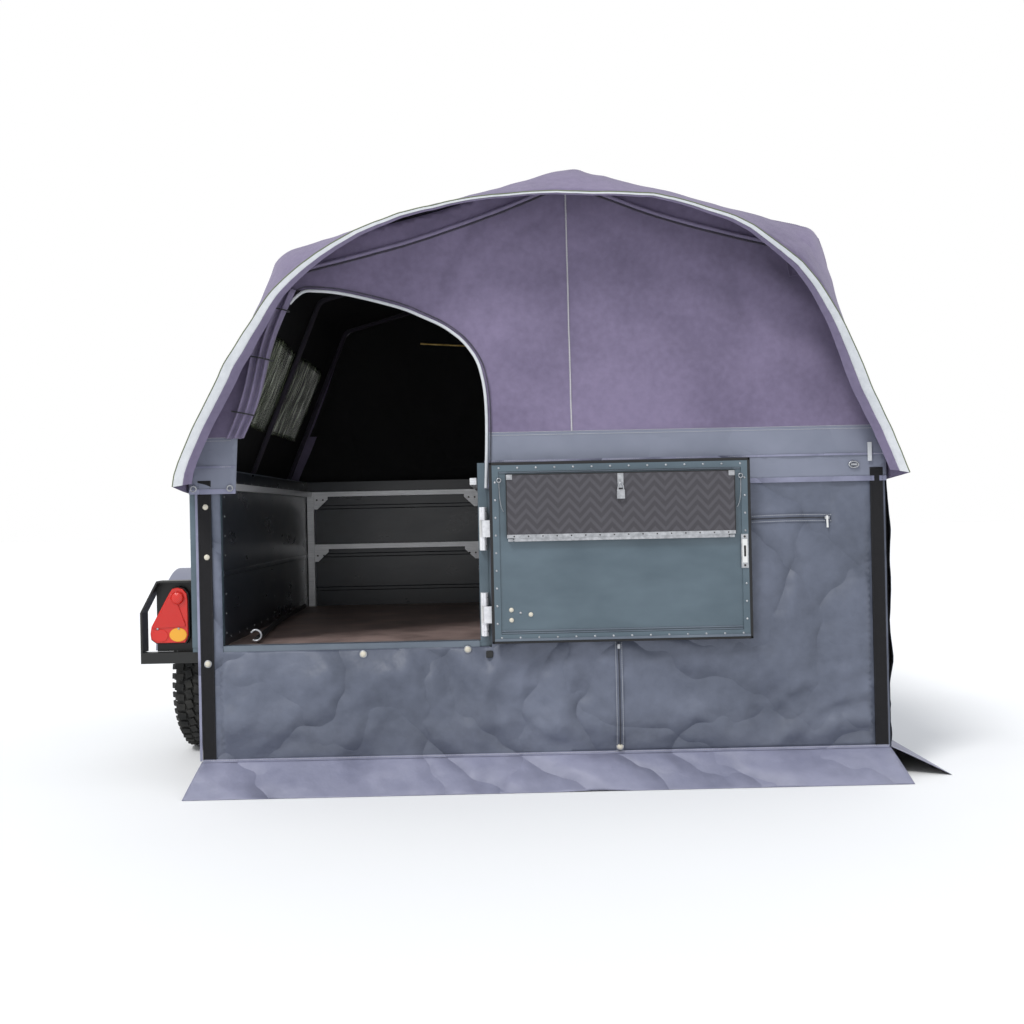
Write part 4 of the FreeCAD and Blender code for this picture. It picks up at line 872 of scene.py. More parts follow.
def make_rear_wall():
    outline = end_outline()
    door = doorway()
    low_left, low_right = outline[0], outline[-1]
    ring = [low_left, *outline[1:-1], low_right, Vector((0.541, BAND_LOW)), *reversed(door[1:-1]),
            Vector((-0.447, BAND_LOW))]
    wall = cloth("tent_rear_cloth", ring, [], 0.020, rear_wall_place, ("canvas", "inner face shade"), "canvas")
    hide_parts("tent_rear_wall")
    smooth = [soft_line(door, share, 0.35) for share in np.linspace(0, len(door) - 1, 130)]
    open_part = smooth[len(smooth) // 5:]
    edge = [rear_wall_place(p.x, max(p.y, BAND_LOW)) + Vector((0, -0.003,
                                                               0)) for p in open_part if p.y > BAND_LOW - 0.01]
    rod("doorway_piping", edge, 0.0062, "strip", "trailer", "canvas")
    tape = [p + (at(0.05, p.y - REAR_Y, 1.6) - p).normalized() * -0.017 for p in edge]
    repeat("doorway_zip_teeth", bar(0.0028, 0.006, 0.002, 0.0004),
           line_places([p + Vector((0, -0.003, 0)) for p in tape], 0.0045, Vector((0, -1, 0))), "black tape",
           "trailer", "canvas")
    seam = [rear_wall_place(0.9, z) + Vector((0, -0.002, 0)) for z in np.linspace(2.44, BAND_HIGH, 60)]
    sew("rear_centre_seam_left", [p + Vector((-0.006, 0, 0)) for p in seam], Vector((0, -1, 0)), "trailer", "canvas",
        0.007)
    sew("rear_centre_seam_right", seam, Vector((0, -1, 0)), "trailer", "canvas", 0.007)
    rod("rear_centre_cord", [p + Vector((-0.003, -0.002, 0)) for p in seam], 0.0013, "thread", "trailer", "canvas",
        sides=2)
    for shoulder, label, start in ((LEFT_SHOULDER, "left", -1), (RIGHT_SHOULDER, "right", 1)):
        ridge = Vector((RIDGE[0] + 0.03 * start, RIDGE[1] - 0.075))
        foot = Vector((shoulder[0] - 0.07 * start, shoulder[1] - 0.085))
        welt = [rear_wall_place(*ridge.lerp(foot, k / 40)) for k in range(41)]
        droop = [p + Vector((0, -0.006, -0.028 * math.sin(math.pi * k / 40))) for k, p in enumerate(welt)]
        rod(f"bow_sleeve_{label}", droop, 0.009, "canvas plain", "trailer", "canvas", sides=3)
        # painted shadow: a dark cord just below each sleeve stands in for the shade of the fold under it
        lower = [p + Vector((0, -0.001, -0.013)) for p in droop]
        rod(f"bow_sleeve_crease_{label}", lower, 0.0045, "crease", "trailer", "canvas", sides=2)
    for z, step in ((BAND_SEAM, 0.008), (BAND_HIGH, 0.008), (BAND_HIGH - 0.012, 0.008)):
        for label, first, last in (("left", SECTION_X[0] + 0.02, -0.46), ("right", 0.57, SECTION_X[1] - 0.02)):
            line = [rear_wall_place(x, z) + Vector((0, -0.0022, 0)) for x in np.linspace(first, last, 60)]
            sew(f"band_stitches_{label}_{round(z * 1000)}", line, Vector((0, -1, 0)), "trailer", "canvas", step)
    for label, first, last in (("left", SECTION_X[0] + 0.008, -0.449), ("right", 0.545, SECTION_X[1] - 0.008)):
        line = [rear_wall_place(x, BAND_LOW + 0.010) + Vector((0, -0.0016, 0)) for x in np.linspace(first, last, 90)]
        ribbon(f"band_hem_{label}", line, lambda i: Vector((0, 0, 1)), 0.020, 0.0016, "flap skylit", "trailer", "coated")
        ribbon(f"band_seam_{label}", [p + Vector((0, 0, BAND_SEAM - BAND_LOW - 0.01)) for p in line],
               lambda i: Vector((0, 0, 1)), 0.008, 0.0012, "flap skylit", "trailer", "coated")
    curtain = [(k / 24, v / 30) for k in range(25) for v in range(31)]
    points = []
    for k, v in curtain:
        z = 1.40 + v * 0.60
        x = -0.438 + (z - 1.396) * 0.33 - 0.045 + k * 0.075
        fold = 0.014 * math.sin(k * 15 + v * 2.5) + 0.006 * noise.noise(Vector((k * 4, v * 6, 2)))
        points.append(at(x + 0.010 * math.sin(v * 7), wall_lean(z) - 0.022 - fold, z))
    faces = [(31 * k + v, 31 * k + v + 1, 31 * k + v + 32, 31 * k + v + 31) for k in range(24) for v in range(30)]
    gathered = piece_from("door_flap_gathered", points, [f[::-1] for f in faces], "canvas plain", "trailer", "canvas")
    shell = gathered.modifiers.new("Thickness", "SOLIDIFY")
    shell.thickness = 0.0012
    for z in (1.50, 1.72, 1.92):
        x = -0.438 + (z - 1.396) * 0.33 - 0.008
        loop = [at(x + 0.046 * math.cos(a), wall_lean(z) - 0.022 - 0.024 * math.sin(a), z - 0.01 * math.cos(a))
                for a in np.linspace(0, math.tau, 20, endpoint=False)]
        rod(f"flap_tie_{round(z * 100)}", loop, 0.003, "black tape", "trailer", "canvas", closed=True, sides=2)
    patch = [rear_wall_place(1.80 + 0.11 * a, 2.02 + 0.10 * b) + Vector((0, -0.004, 0))
             for a, b in ((0, 0), (1, 0.2), (0.75, 1), (-0.1, 0.85))]
    outline_path = [patch[i].lerp(patch[(i + 1) % 4], k / 8) for i in range(4) for k in range(8)]
    rod("shoulder_patch_edge", outline_path, 0.0011, "canvas plain", "trailer", "canvas", closed=True, sides=2)
    for shift in (0, 0.03):
        loop = [at(1.842 + shift + 0.012 * math.cos(a), wall_lean(2.08) - 0.012 - 0.006 * abs(math.sin(a)),
                   2.085 + 0.035 * math.sin(a)) for a in np.linspace(0, math.tau, 18, endpoint=False)]
        rod(f"shoulder_loop_{round(shift * 100)}", loop, 0.0035, "black tape", "trailer", "canvas", closed=True,
            sides=2)


def make_front_wall():
    wall = cloth("tent_front_cloth", end_outline(), [], 0.03, front_wall_place, ("canvas", "inner face shade"), "canvas", True)
    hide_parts("tent_front_wall")
    for x in (0.15, 0.9, 1.6):
        line = [front_wall_place(x, z) + Vector((0, 0.002, 0)) for z in np.linspace(2.1, BAND_HIGH, 50)]
        sew(f"front_seam_{round(x * 100)}", line, Vector((0, 1, 0)), "trailer", "canvas", 0.008)


# ---------------------------------------------------------------- skirts
    run = [roof_place(u, FRONT_Y - 0.010) for u in np.linspace(0.02, float(RUNS[-1]) - 0.02, 150)]
    inward = [((at(RIDGE[0], FRONT_Y, 1.45) - p) * Vector((1, 0, 1))).normalized() for p in run]
    ribbon("front_corner_binding", [p + v * 0.032 for p, v in zip(run, inward)], lambda i: inward[i], 0.054, 0.002,
           "canvas plain", "trailer", "canvas")



def skirt_fold(x, z, seed):
    """How far the skirt's cloth stands out: a hanging wave with crumpled creases over it, fading to the top."""
    drop = min(max((SKIRT_TOP - z) / 0.9, 0), 1)
    hang = 0.008 * math.sin(x * 8 + 2.5 * noise.noise(Vector((x, z, seed)))) * drop
    return 0.050 * (crumple(x, z, seed) + 0.32) * (0.35 + 0.65 * drop) + hang


def flap_out(down, reach, x):
    """The mud flap below the seam: (distance out, height) at a distance down from the seam."""
    length = math.hypot(reach, SKIRT_SEAM)
    share = min(down / length, 1)
    wave = 0.016 * math.exp(-((x - 0.95) / 0.12) ** 2) + 0.005 * noise.noise(Vector((x * 5, down * 4, 8)))
    height = SKIRT_SEAM * (1 - share) + (wave + 0.004) * math.sin(math.pi * min(share * 0.9, 1))
    return reach * share, max(height, 0.0016)


def rear_skirt_place(x, v):
    """v is the height above the seam, and below it the distance down the flap, as a negative."""
    if v >= 0:
        z = v + SKIRT_SEAM
        held = min(v / 0.12, 1) * min(max((BAND_LOW - 0.012 - z) / 0.2, 0.0), 1)
        held *= min(max((0.558 - z) / 0.1, 0.0), 1) if x < 0.56 else 1
        behind = min((x - 0.50) / 0.06, (DOOR_SPAN[1] + 0.06 - x) / 0.06, (z - DOOR_SPAN[2] + 0.08) / 0.08)
        room = 0.055 + (DOOR_ROOM - 0.055) * min(max(behind, 0), 1)
        out = min(max(skirt_fold(x, z, 51) + 0.004, 0), 0.055) * held
        out = room * math.tanh(out / room)
        taut = 0.08 if x < -0.52 or x > 2.07 else 1
        return at(x, -0.0055 - out * taut, z)
    out, height = flap_out(-v, REAR_FLAP, x)
    spread = (x - 0.77) * 0.028 * (-v / 0.2)
    return at(x + spread, -0.006 - out, height)


def right_skirt_place(y, v):
    face = BED_RIGHT + 0.001
    if v >= 0:
        held = min(v / 0.1, 1) * min(max((SKIRT_TOP + 0.03 - SKIRT_SEAM - v) / 0.15, 0.1), 1)
        return at(face + max(0.004 + skirt_fold(y, v, 61), 0) * held * 0.6, y, v + SKIRT_SEAM)
    out, height = flap_out(-v, RIGHT_FLAP, y + 5)
    return at(face + out, y + (y - 1.1) * 0.02 * (-v / 0.2), height)


def front_skirt_place(x, v):
    if v >= 0:
        held = min(v / 0.1, 1)
        return at(x, FRONT_Y + 0.004 + max(0.004 + skirt_fold(x, v, 71), 0) * held * 0.6, v + SKIRT_SEAM)
    out, height = flap_out(-v, FRONT_FLAP, x + 9)
    return at(x, FRONT_Y + 0.006 + out, height)


def tape_line(x, low, high, lift):
    return [at(x, -0.010 - lift, z) for z in np.linspace(low, high, 40)]


def make_skirts():
    top = SKIRT_TOP - SKIRT_SEAM
    opening_top = SKIRT_OPENING_TOP - SKIRT_SEAM
    rear_flap = -math.hypot(REAR_FLAP, SKIRT_SEAM)
    right = BED_RIGHT - 0.001
    outline = [(SKIRT_LEFT, 0), (right, 0), (right, top), (OPENING_SIDES[1], top), (OPENING_SIDES[1], opening_top),
               (OPENING_SIDES[0], opening_top), (OPENING_SIDES[0], top), (SKIRT_LEFT, top)]
    panel = cloth("skirt_rear_cloth", outline, [], 0.016, rear_skirt_place, ("skirt", "skirt back shade"), "coated", False)
    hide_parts("skirt_rear")
    jobs = [("skirt_right_cloth", "skirt_right", (0, FRONT_Y), right_skirt_place, top),
            ("skirt_front_cloth", "skirt_front", (HALF_BOX + 0.002, right), front_skirt_place, top)]
    for name, node, (first, last), place, height in jobs:
        rect = [(first, 0), (last, 0), (last, height), (first, height)]
        made = cloth(name, rect, [], 0.024, place, ("skirt", "skirt back shade"), "coated", name == "skirt_front_cloth")
        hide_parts(node)
        last - first
    flaps = [("mud_flap_rear", (SKIRT_LEFT - 0.005, right), rear_skirt_place, rear_flap, False),
             ("mud_flap_right", (0, FRONT_Y), right_skirt_place, -math.hypot(RIGHT_FLAP, SKIRT_SEAM), False),
             ("mud_flap_front", (HALF_BOX + 0.002, right), front_skirt_place, -math.hypot(FRONT_FLAP, SKIRT_SEAM), True)]
    for name, (first, last), place, low, flip in flaps:
        rect = [(first, low), (last, low), (last, -0.0001), (first, -0.0001)]
        made = cloth(name, rect, [], 0.016, place, ("flap skylit", "skirt back shade"), "coated", flip)
        last - first
        -low
        line = [place(x, 0.004) for x in np.linspace(first + 0.005, last - 0.005, 160)]
        out = (place((first + last) / 2, -0.05) - place((first + last) / 2, 0.0)) * Vector((1, 1, 0))
        out.normalize()
        line = [p + out * 0.0035 for p in line]
        ribbon(name + "_welt", line, lambda i: Vector((0, 0, 1)), 0.012, 0.0018, "flap skylit", "trailer", "coated")
        sew(name + "_stitches", [p + out * 0.0022 + Vector((0, 0, 0.002)) for p in line], out, "trailer", "coated",
            0.0085)
    for label, low_x, high_x in (("left", -0.599, -0.547), ("right", 2.086, 2.138)):
        middle = (low_x + high_x) / 2
        ribbon(f"hook_tape_{label}", tape_line(middle, 0.125, 1.235, 0.002), lambda i: Vector((1, 0, 0)),
               high_x - low_x, 0.0022, "hook tape", "trailer", "coated")
        for edge in (low_x + 0.003, high_x - 0.003):
            line = tape_line(edge, 0.125, 1.235, 0.0052)
            sew(f"hook_tape_{label}_stitches_{round(abs(edge) * 1000)}", line, Vector((0, -1, 0)), "trailer",
                "coated",
                0.008, "black tape")
    ribbon("skirt_left_hem", tape_line(-0.606, 0.118, 1.2, 0.001), lambda i: Vector((1, 0, 0)), 0.010, 0.002,
           "flap skylit", "trailer", "coated")
    corner_tape = [at(BED_RIGHT + 0.007, 0.03, z) for z in np.linspace(0.125, 1.18, 30)]
    ribbon("hook_tape_corner", corner_tape, lambda i: Vector((0, 1, 0)), 0.05, 0.002, "hook tape", "trailer",
           "coated")


def zip_run(name, line, across, out, paint_tape="skirt"):
    """A zip: its tape, the coil down its middle and the two rows of stitches."""
    ribbon(name + "_tape", line, lambda i: across, 0.034, 0.0016, paint_tape, "trailer", "coated")
    raised = [p + out * 0.003 for p in line]
    repeat(name + "_coil", bar(0.0022, 0.0062, 0.0022, 0.0005), line_places(raised, 0.0042, out), "black tape",
           "trailer", "coated")
    for side in (-1, 1):
        sew(f"{name}_stitches_{'a' if side < 0 else 'b'}", [p + out * 0.0022 + across * side * 0.012 for p in line],
            out, "trailer", "coated", 0.008)


def skirt_surface(x, z, lift=0.003):
    return rear_skirt_place(x, z - SKIRT_SEAM) + Vector((0, -lift, 0))


def make_skirt_fittings():
    out = Vector((0, -1, 0))
    zip_run("skirt_upright_zip", [skirt_surface(1.062, z) for z in np.linspace(0.125, 0.56, 50)], Vector((1, 0, 0)),
            out)
    zip_run("skirt_pocket_zip", [skirt_surface(x, 1.035 + 0.004 * math.sin(x * 8)) for x in np.linspace(1.60, 1.92,
                                                                                                        40)],
            Vector((0, 0, 1)), out)
    pull = [skirt_surface(1.905, z, 0.012) for z in (1.045, 1.03, 1.012, 0.998)]
    rod("pocket_zip_pull", pull, 0.0042, "white", "trailer", "coated")
    repeat("zip_sliders", bar(0.02, 0.012, 0.007, 0.002),
           [(skirt_surface(1.905, 1.037, 0.006), out, (1, 0, 0)),
            (skirt_surface(1.062, 0.545, 0.006), out, (0, 0, 1))],
           "zinc", "trailer", "galvanised")
    snaps = [(-0.568, 0.930), (-0.572, 0.505), (0.047, 0.532), (0.463, 0.541), (1.062, 0.142), (-0.57, 1.13)]
    places = [(skirt_surface(x, z, 0.004), out, (1, 0, 0)) for x, z in snaps]
    repeat("cream_snaps", dome(0.0115, 0.008, 20), places, "cream", "trailer", "coated")
    repeat("snap_collars", dome(0.0155, 0.0025, 20), places, "zinc", "trailer", "galvanised")
    eyes = [(-0.615, 1.203), (-0.47, 1.203)]
    for x, z in eyes:
        ring = [at(x + 0.011 * math.cos(a), -0.017, z + 0.011 * math.sin(a)) for a in np.linspace(0, math.tau, 24,
                                                                                                  endpoint=False)]
        rod(f"eyelet_{round(-x * 1000)}", ring, 0.0032, "zinc", "trailer", "galvanised", closed=True)
    button = at(2.02, -0.024, 1.247)
    ring = [button + Vector((0.019 * math.cos(a), 0.004, 0.012 * math.sin(a))) for a in np.linspace(0, math.tau, 24,
                                                                                                    endpoint=False)]
    rod("turn_button_ring", ring, 0.0035, "zinc", "trailer", "galvanised", closed=True)
    blocks("turn_button", [(button - Vector((0.013, 0.004, 0.004)), button + Vector((0.013, 0.004, 0.004)))], "zinc",
           "trailer", "galvanised")
    tab = [at(2.085, -0.02, z) for z in np.linspace(1.26, 1.335, 8)]
    ribbon("corner_zip_tab", tab, lambda i: Vector((1, 0, 0)), 0.016, 0.003, "strip", "trailer", "canvas")


# ---------------------------------------------------------------- mattress


def make_mattress():
    low, high = (Vector(c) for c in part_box("mattress"))
    work = bmesh.new()
    add_block(work, low + Vector((0.012, 0.012, 0.001)), high - Vector((0.012, 0.012, 0.014)), 0.03)
    pad = from_bmesh("mattress_pad", work, "mattress", "trailer", "mattress")
    remesh = pad.modifiers.new("Even mesh", "REMESH")
    remesh.mode, remesh.voxel_size = "VOXEL", 0.026
    seen = pad.evaluated_get(bpy.context.evaluated_depsgraph_get())
    pad.data = bpy.data.meshes.new_from_object(seen)
    pad.modifiers.clear()
    start = [v.co.copy() for v in pad.data.vertices]
    soft = pad.modifiers.new("Cloth", "CLOTH")
    soft.settings.use_pressure = True
    soft.settings.uniform_pressure_force = 4
    soft.settings.effector_weights.gravity = 0
    for step in range(1, 21):
        bpy.context.scene.frame_set(step)
    seen = pad.evaluated_get(bpy.context.evaluated_depsgraph_get())
    puffed = [v.co.copy() for v in seen.data.vertices]
    pad.modifiers.clear()
    bpy.context.scene.frame_set(1)
    for vertex, was, now in zip(pad.data.vertices, start, puffed):
        move = now - was
        if move.length > 0.016:
            move.length = 0.016
        place = was + move
        vertex.co = (place.x, place.y, max(place.z, low.z + 0.001))
    for vertex in pad.data.vertices:
        if vertex.co.z > (low.z + high.z) / 2:
            vertex.co.z += 0.003 * noise.noise(vertex.co * 5)
    smooth = pad.modifiers.new("Smooth", "SUBSURF")
    smooth.levels = smooth.render_levels = 1
    pad.data.materials.clear()
    pad.data.materials.append(PAINTS["mattress"])
    for face in pad.data.polygons:
        face.use_smooth = True
    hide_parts("mattress")
    for z in (low.z + 0.012, high.z - 0.014):
        ring = [Vector((low.x + 0.006, low.y + 0.006, z)), Vector((high.x - 0.006, low.y + 0.006, z)),
                Vector((high.x - 0.006, high.y - 0.006, z)), Vector((low.x + 0.006, high.y - 0.006, z))]
        rod(f"mattress_piping_{round(z * 1000)}", ring, 0.006, "black tape", "trailer", "mattress", closed=True)


# ---------------------------------------------------------------- wheels


def make_wheel(side):
    name = "left" if side < 0 else "right"
    body = f"wheel_{name}"
    low, high = (Vector(c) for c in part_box(f"tyre_{name}"))
    centre, radius, half = (low + high) / 2, (high.z - low.z) / 2, (high.x - low.x) / 2
    bead = radius - 0.145
    work = bmesh.new()
    profile = [(-half + 0.016, bead), (-half + 0.004, bead + 0.02), (-half, bead + 0.05),
               (-half + 0.006, radius - 0.062),
               (-half + 0.02, radius - 0.022), (-half + 0.05, radius - 0.012), (0, radius - 0.011),
               (half - 0.05, radius - 0.012), (half - 0.02, radius - 0.022), (half - 0.006, radius - 0.062),
               (half, bead + 0.05), (half - 0.004, bead + 0.02), (half - 0.016, bead), (-half + 0.016, bead)]
    lathe(work, profile, centre, 96)
    bmesh.ops.remove_doubles(work, verts=work.verts, dist=1e-6)
    carcass = from_bmesh(f"tyre_carcass_{name}", work, "tyre", body, "tyre")
    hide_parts(f"tyre_{name}")

    def ring_places(count, across, depth, skew, turn=0.0):
        places = []
        for k in range(count):
            angle = math.tau * (k + turn) / count
            out = Vector((0, math.cos(angle), math.sin(angle)))
            tangent = Vector((skew, -math.sin(angle), math.cos(angle)))
            places.append((centre + Vector((across, 0, 0)) + out * depth, out, tangent))
        return places
    tread = radius - 0.013
    repeat(f"tread_middle_{name}", bar(0.036, 0.030, 0.012, 0.002),
           ring_places(44, -0.02, tread, 0.3) + ring_places(44, 0.02, tread, -0.3, 0.5), "tyre", body, "tyre",
           smooth=False)
    repeat(f"tread_outer_{name}", bar(0.030, 0.040, 0.0125, 0.002),
           ring_places(44, -0.062, tread - 0.002, -0.15, 0.3) + ring_places(44, 0.062, tread - 0.002, 0.15, 0.8),
           "tyre",
           body, "tyre", smooth=False)
    shoulders = []
    for sign in (-1, 1):
        for k in range(44):
            angle = math.tau * (k + (0.2 if sign < 0 else 0.7)) / 44
            out = Vector((sign * 0.9, math.cos(angle), math.sin(angle)))
            place = centre + Vector((sign * (half - 0.012), 0, 0)) + Vector((0, out.y, out.z)) * (radius - 0.036)
            shoulders.append((place, out, Vector((0, -out.z, out.y))))
    repeat(f"tread_shoulder_{name}", bar(0.026, 0.028, 0.009, 0.002), shoulders, "tyre", body, "tyre", smooth=False)
    face = centre.x + side * 0.038
    nuts = []
    for k in range(5):
        angle = math.tau * k / 5
        nuts.append((Vector((face, centre.y + 0.056 * math.cos(angle), centre.z + 0.056 * math.sin(angle))),
                     (side, 0, 0), (0, 1, 0)))
    repeat(f"wheel_nuts_{name}", dome(0.0105, 0.018, 6), nuts, "zinc", body, "galvanised", smooth=False)
    cap = bmesh.new()
    reach = side * 0.03
    base = centre.x + side * 0.05
    lathe(cap, [(base - centre.x, 0.034), (base - centre.x + reach, 0.032), (base - centre.x + reach * 1.2, 0.024),
                (base - centre.x + reach * 1.25, 0.001)], centre, 32)
    from_bmesh(f"hub_cap_{name}", cap, "zinc", body, "galvanised")


# ---------------------------------------------------------------- rear door


def make_door():
    low, high = (Vector(c) for c in DOOR)
    face = low.y
    frame_width = 0.028
    seal, rivets = [], []
    lap = 0.009
    for a, b in (((low.x - lap, low.z - lap), (low.x + 0.003, high.z + lap)),
                 ((high.x - 0.003, low.z - lap), (high.x + lap, high.z + lap)),
                 ((low.x - lap, high.z - 0.003), (high.x + lap, high.z + lap)),
                 ((low.x - lap, low.z - lap), (high.x + lap, low.z + 0.003))):
        seal.append((Vector((a[0], face - 0.001, a[1])), Vector((b[0], face + 0.022, b[1]))))
    blocks("door_seal", seal, "rubber", "door", "rubber", 0.003)
    for z in (low.z + frame_width / 2, high.z - frame_width / 2):
        rivets += [(Vector((x, face, z)), (0, -1, 0), (1, 0, 0)) for x in np.linspace(low.x + 0.03, high.x - 0.03,
                                                                                      14)]
    for x in (low.x + frame_width / 2, high.x - frame_width / 2):
        rivets += [(Vector((x, face, z)), (0, -1, 0), (1, 0, 0)) for z in np.linspace(low.z + 0.07, high.z - 0.07, 9)]
    repeat("door_rivets", dome(0.0042, 0.0022, 10), rivets, "zinc", "door", "galvanised")
    beads = [(Vector((low.x + 0.03, face + 0.0005, z)), Vector((high.x - 0.03, face + 0.006, z + 0.004)))
             for z in (low.z + 0.030, low.z + 0.039, high.z - 0.034)]
    blocks("door_frame_beads", beads, "frame", "door", "box_coat", 0.001)
    blocks("door_frame_lip", [(Vector((low.x + 0.002, face - 0.0035, low.z + 0.001)),
                               Vector((high.x - 0.002, face - 0.0002, low.z + 0.011)))],
           "frame", "door", "box_coat", 0.001)
    panel = face + 0.005
    snaps = [(0.640, 0.700), (0.640, 0.660), (0.716, 0.681)]
    repeat("door_snaps", dome(0.009, 0.006, 18), [(at(x, 0, z) * Vector((1, 0, 1)) + Vector((0, panel, 0)),
                                                   (0, -1, 0), (1, 0, 0))
                                                  for x, z in snaps], "cream", "door", "coated")
    screws = [(at(0.676, 0, 0.688) * Vector((1, 0, 1)) + Vector((0, panel, 0)), (0, -1, 0), (1, 0, 0))]
    repeat("door_screw", dome(0.005, 0.003, 12), screws, "zinc", "door", "galvanised")
    latch_low, latch_high = (Vector(c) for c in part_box("door_latch"))
    front = latch_low.y
    blocks("door_latch_plate", [(Vector((latch_low.x + 0.004, front - 0.003, latch_low.z + 0.02)),
                                 Vector((latch_high.x - 0.004, front + 0.001, latch_high.z - 0.02)))], "white",
                                 "door", "galvanised")
    blocks("door_latch_slot", [(Vector((latch_low.x + 0.010, front - 0.005, latch_low.z + 0.045)),
                                Vector((latch_high.x - 0.010, front - 0.001, latch_high.z - 0.045)))], "black",
                                "door", "galvanised")
    holes = [(Vector(((latch_low.x + latch_high.x) / 2, front - 0.0002, z)), (0, -1, 0), (1, 0, 0))
             for z in (latch_low.z + 0.01, latch_high.z - 0.01)]
    repeat("door_latch_screws", dome(0.0045, 0.002, 12), holes, "iron", "door", "galvanised")
    outer = high.y
    skin = [(Vector((low.x + 0.03, outer - 0.002, z)), Vector((high.x - 0.03, outer + 0.003, z + 0.02)))
            for z in np.linspace(low.z + 0.12, high.z - 0.14, 5)]
    blocks("door_outer_ribs", skin, "box", "door", "box_coat", 0.003)


def make_table():
    low, high = (Vector(c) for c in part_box("door_table"))
    front = low.y
    edge = 0.004
    rim = [(Vector((low.x, front - 0.001, low.z)), Vector((low.x + edge, high.y, high.z))),
           (Vector((high.x - edge, front - 0.001, low.z)), Vector((high.x, high.y, high.z))),
           (Vector((low.x, front - 0.001, high.z - edge)), Vector((high.x, high.y, high.z)))]
    blocks("table_edge_trim", rim, "rubber", "table", "rubber", 0.001)
    strip = (Vector((low.x + 0.002, front - 0.0022, low.z - 0.002)),
             Vector((high.x - 0.002, front - 0.0004, low.z + 0.012)))
    blocks("table_hinge_strip", [strip], "zinc", "table", "galvanised", 0.0006)
    heads = [(Vector((x, front - 0.002, low.z + 0.005)), (0, -1, 0), (1, 0, 0)) for x in np.linspace(low.x + 0.03,
                                                                                                     high.x - 0.03,
                                                                                                     16)]
    repeat("table_hinge_rivets", dome(0.003, 0.0016, 10), heads, "iron", "table", "galvanised")
    middle = (low.x + high.x) / 2
    catch = [(Vector((middle - 0.012, front - 0.004, high.z - 0.062)),
              Vector((middle + 0.012, front - 0.0002, high.z - 0.004))),
             (Vector((middle - 0.016, front - 0.014, high.z - 0.105)),
              Vector((middle + 0.016, front - 0.003, high.z - 0.068)))]
    blocks("table_catch", catch, "zinc", "table", "galvanised", 0.003)
    shackle = [Vector((middle + 0.011 * math.cos(a), front - 0.008, high.z - 0.068 + 0.026 * math.sin(a)))
               for a in np.linspace(0, math.pi, 14)]
    rod("table_catch_shackle", shackle, 0.003, "zinc", "table", "galvanised")
    corners = [(Vector((x - 0.012, front - 0.003, high.z - 0.022)),
                Vector((x + 0.012, front - 0.0002, high.z - 0.002)))
               for x in (low.x + 0.014, high.x - 0.014)]
    blocks("table_corner_catches", corners, "zinc", "table", "galvanised")
    door_low, door_high = (Vector(c) for c in DOOR)
    for label, x, reach in (("left", door_low.x + 0.030, 0.032), ("right", door_high.x - 0.030, -0.032)):
        ring = [Vector((x + 0.008 * math.cos(a), door_low.y - 0.004, door_high.z - 0.062 + 0.008 * math.sin(a)))
                for a in np.linspace(0, math.tau, 18, endpoint=False)]
        rod(f"lanyard_ring_{label}", ring, 0.0022, "zinc", "door", "galvanised", closed=True)
        path = []
        for k in range(25):
            share = k / 24
            sag = 0.05 * math.sin(math.pi * share)
            path.append(Vector((x + reach * share ** 2 * 0.5, door_low.y - 0.004 - 0.004 * math.sin(math.pi * share),
                                door_high.z - 0.07 - 0.115 * share - sag * 0.4)))
        rod(f"lanyard_{label}", path, 0.0013, "zinc", "door", "galvanised", sides=2)


def make_hinges():
    low, high = (Vector(c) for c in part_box("door_hinge_brackets"))
    face = low.y
    places = []
    for z in (0.612, 0.748, 0.953, 1.089):
        places.append((Vector((high.x - 0.004, face + 0.008, z)), (0.3, -1, 0), (1, 0, 0)))
    repeat("hinge_screws", dome(0.0042, 0.003, 12), places, "iron", "trailer", "galvanised")
    plates = [(at(0.519, -0.004, z), at(0.534, -0.0005, z + 0.172)) for z in (0.594, 0.935)]
    blocks("hinge_cover_plates", plates, "white", "trailer", "galvanised", 0.001)


# ---------------------------------------------------------------- box


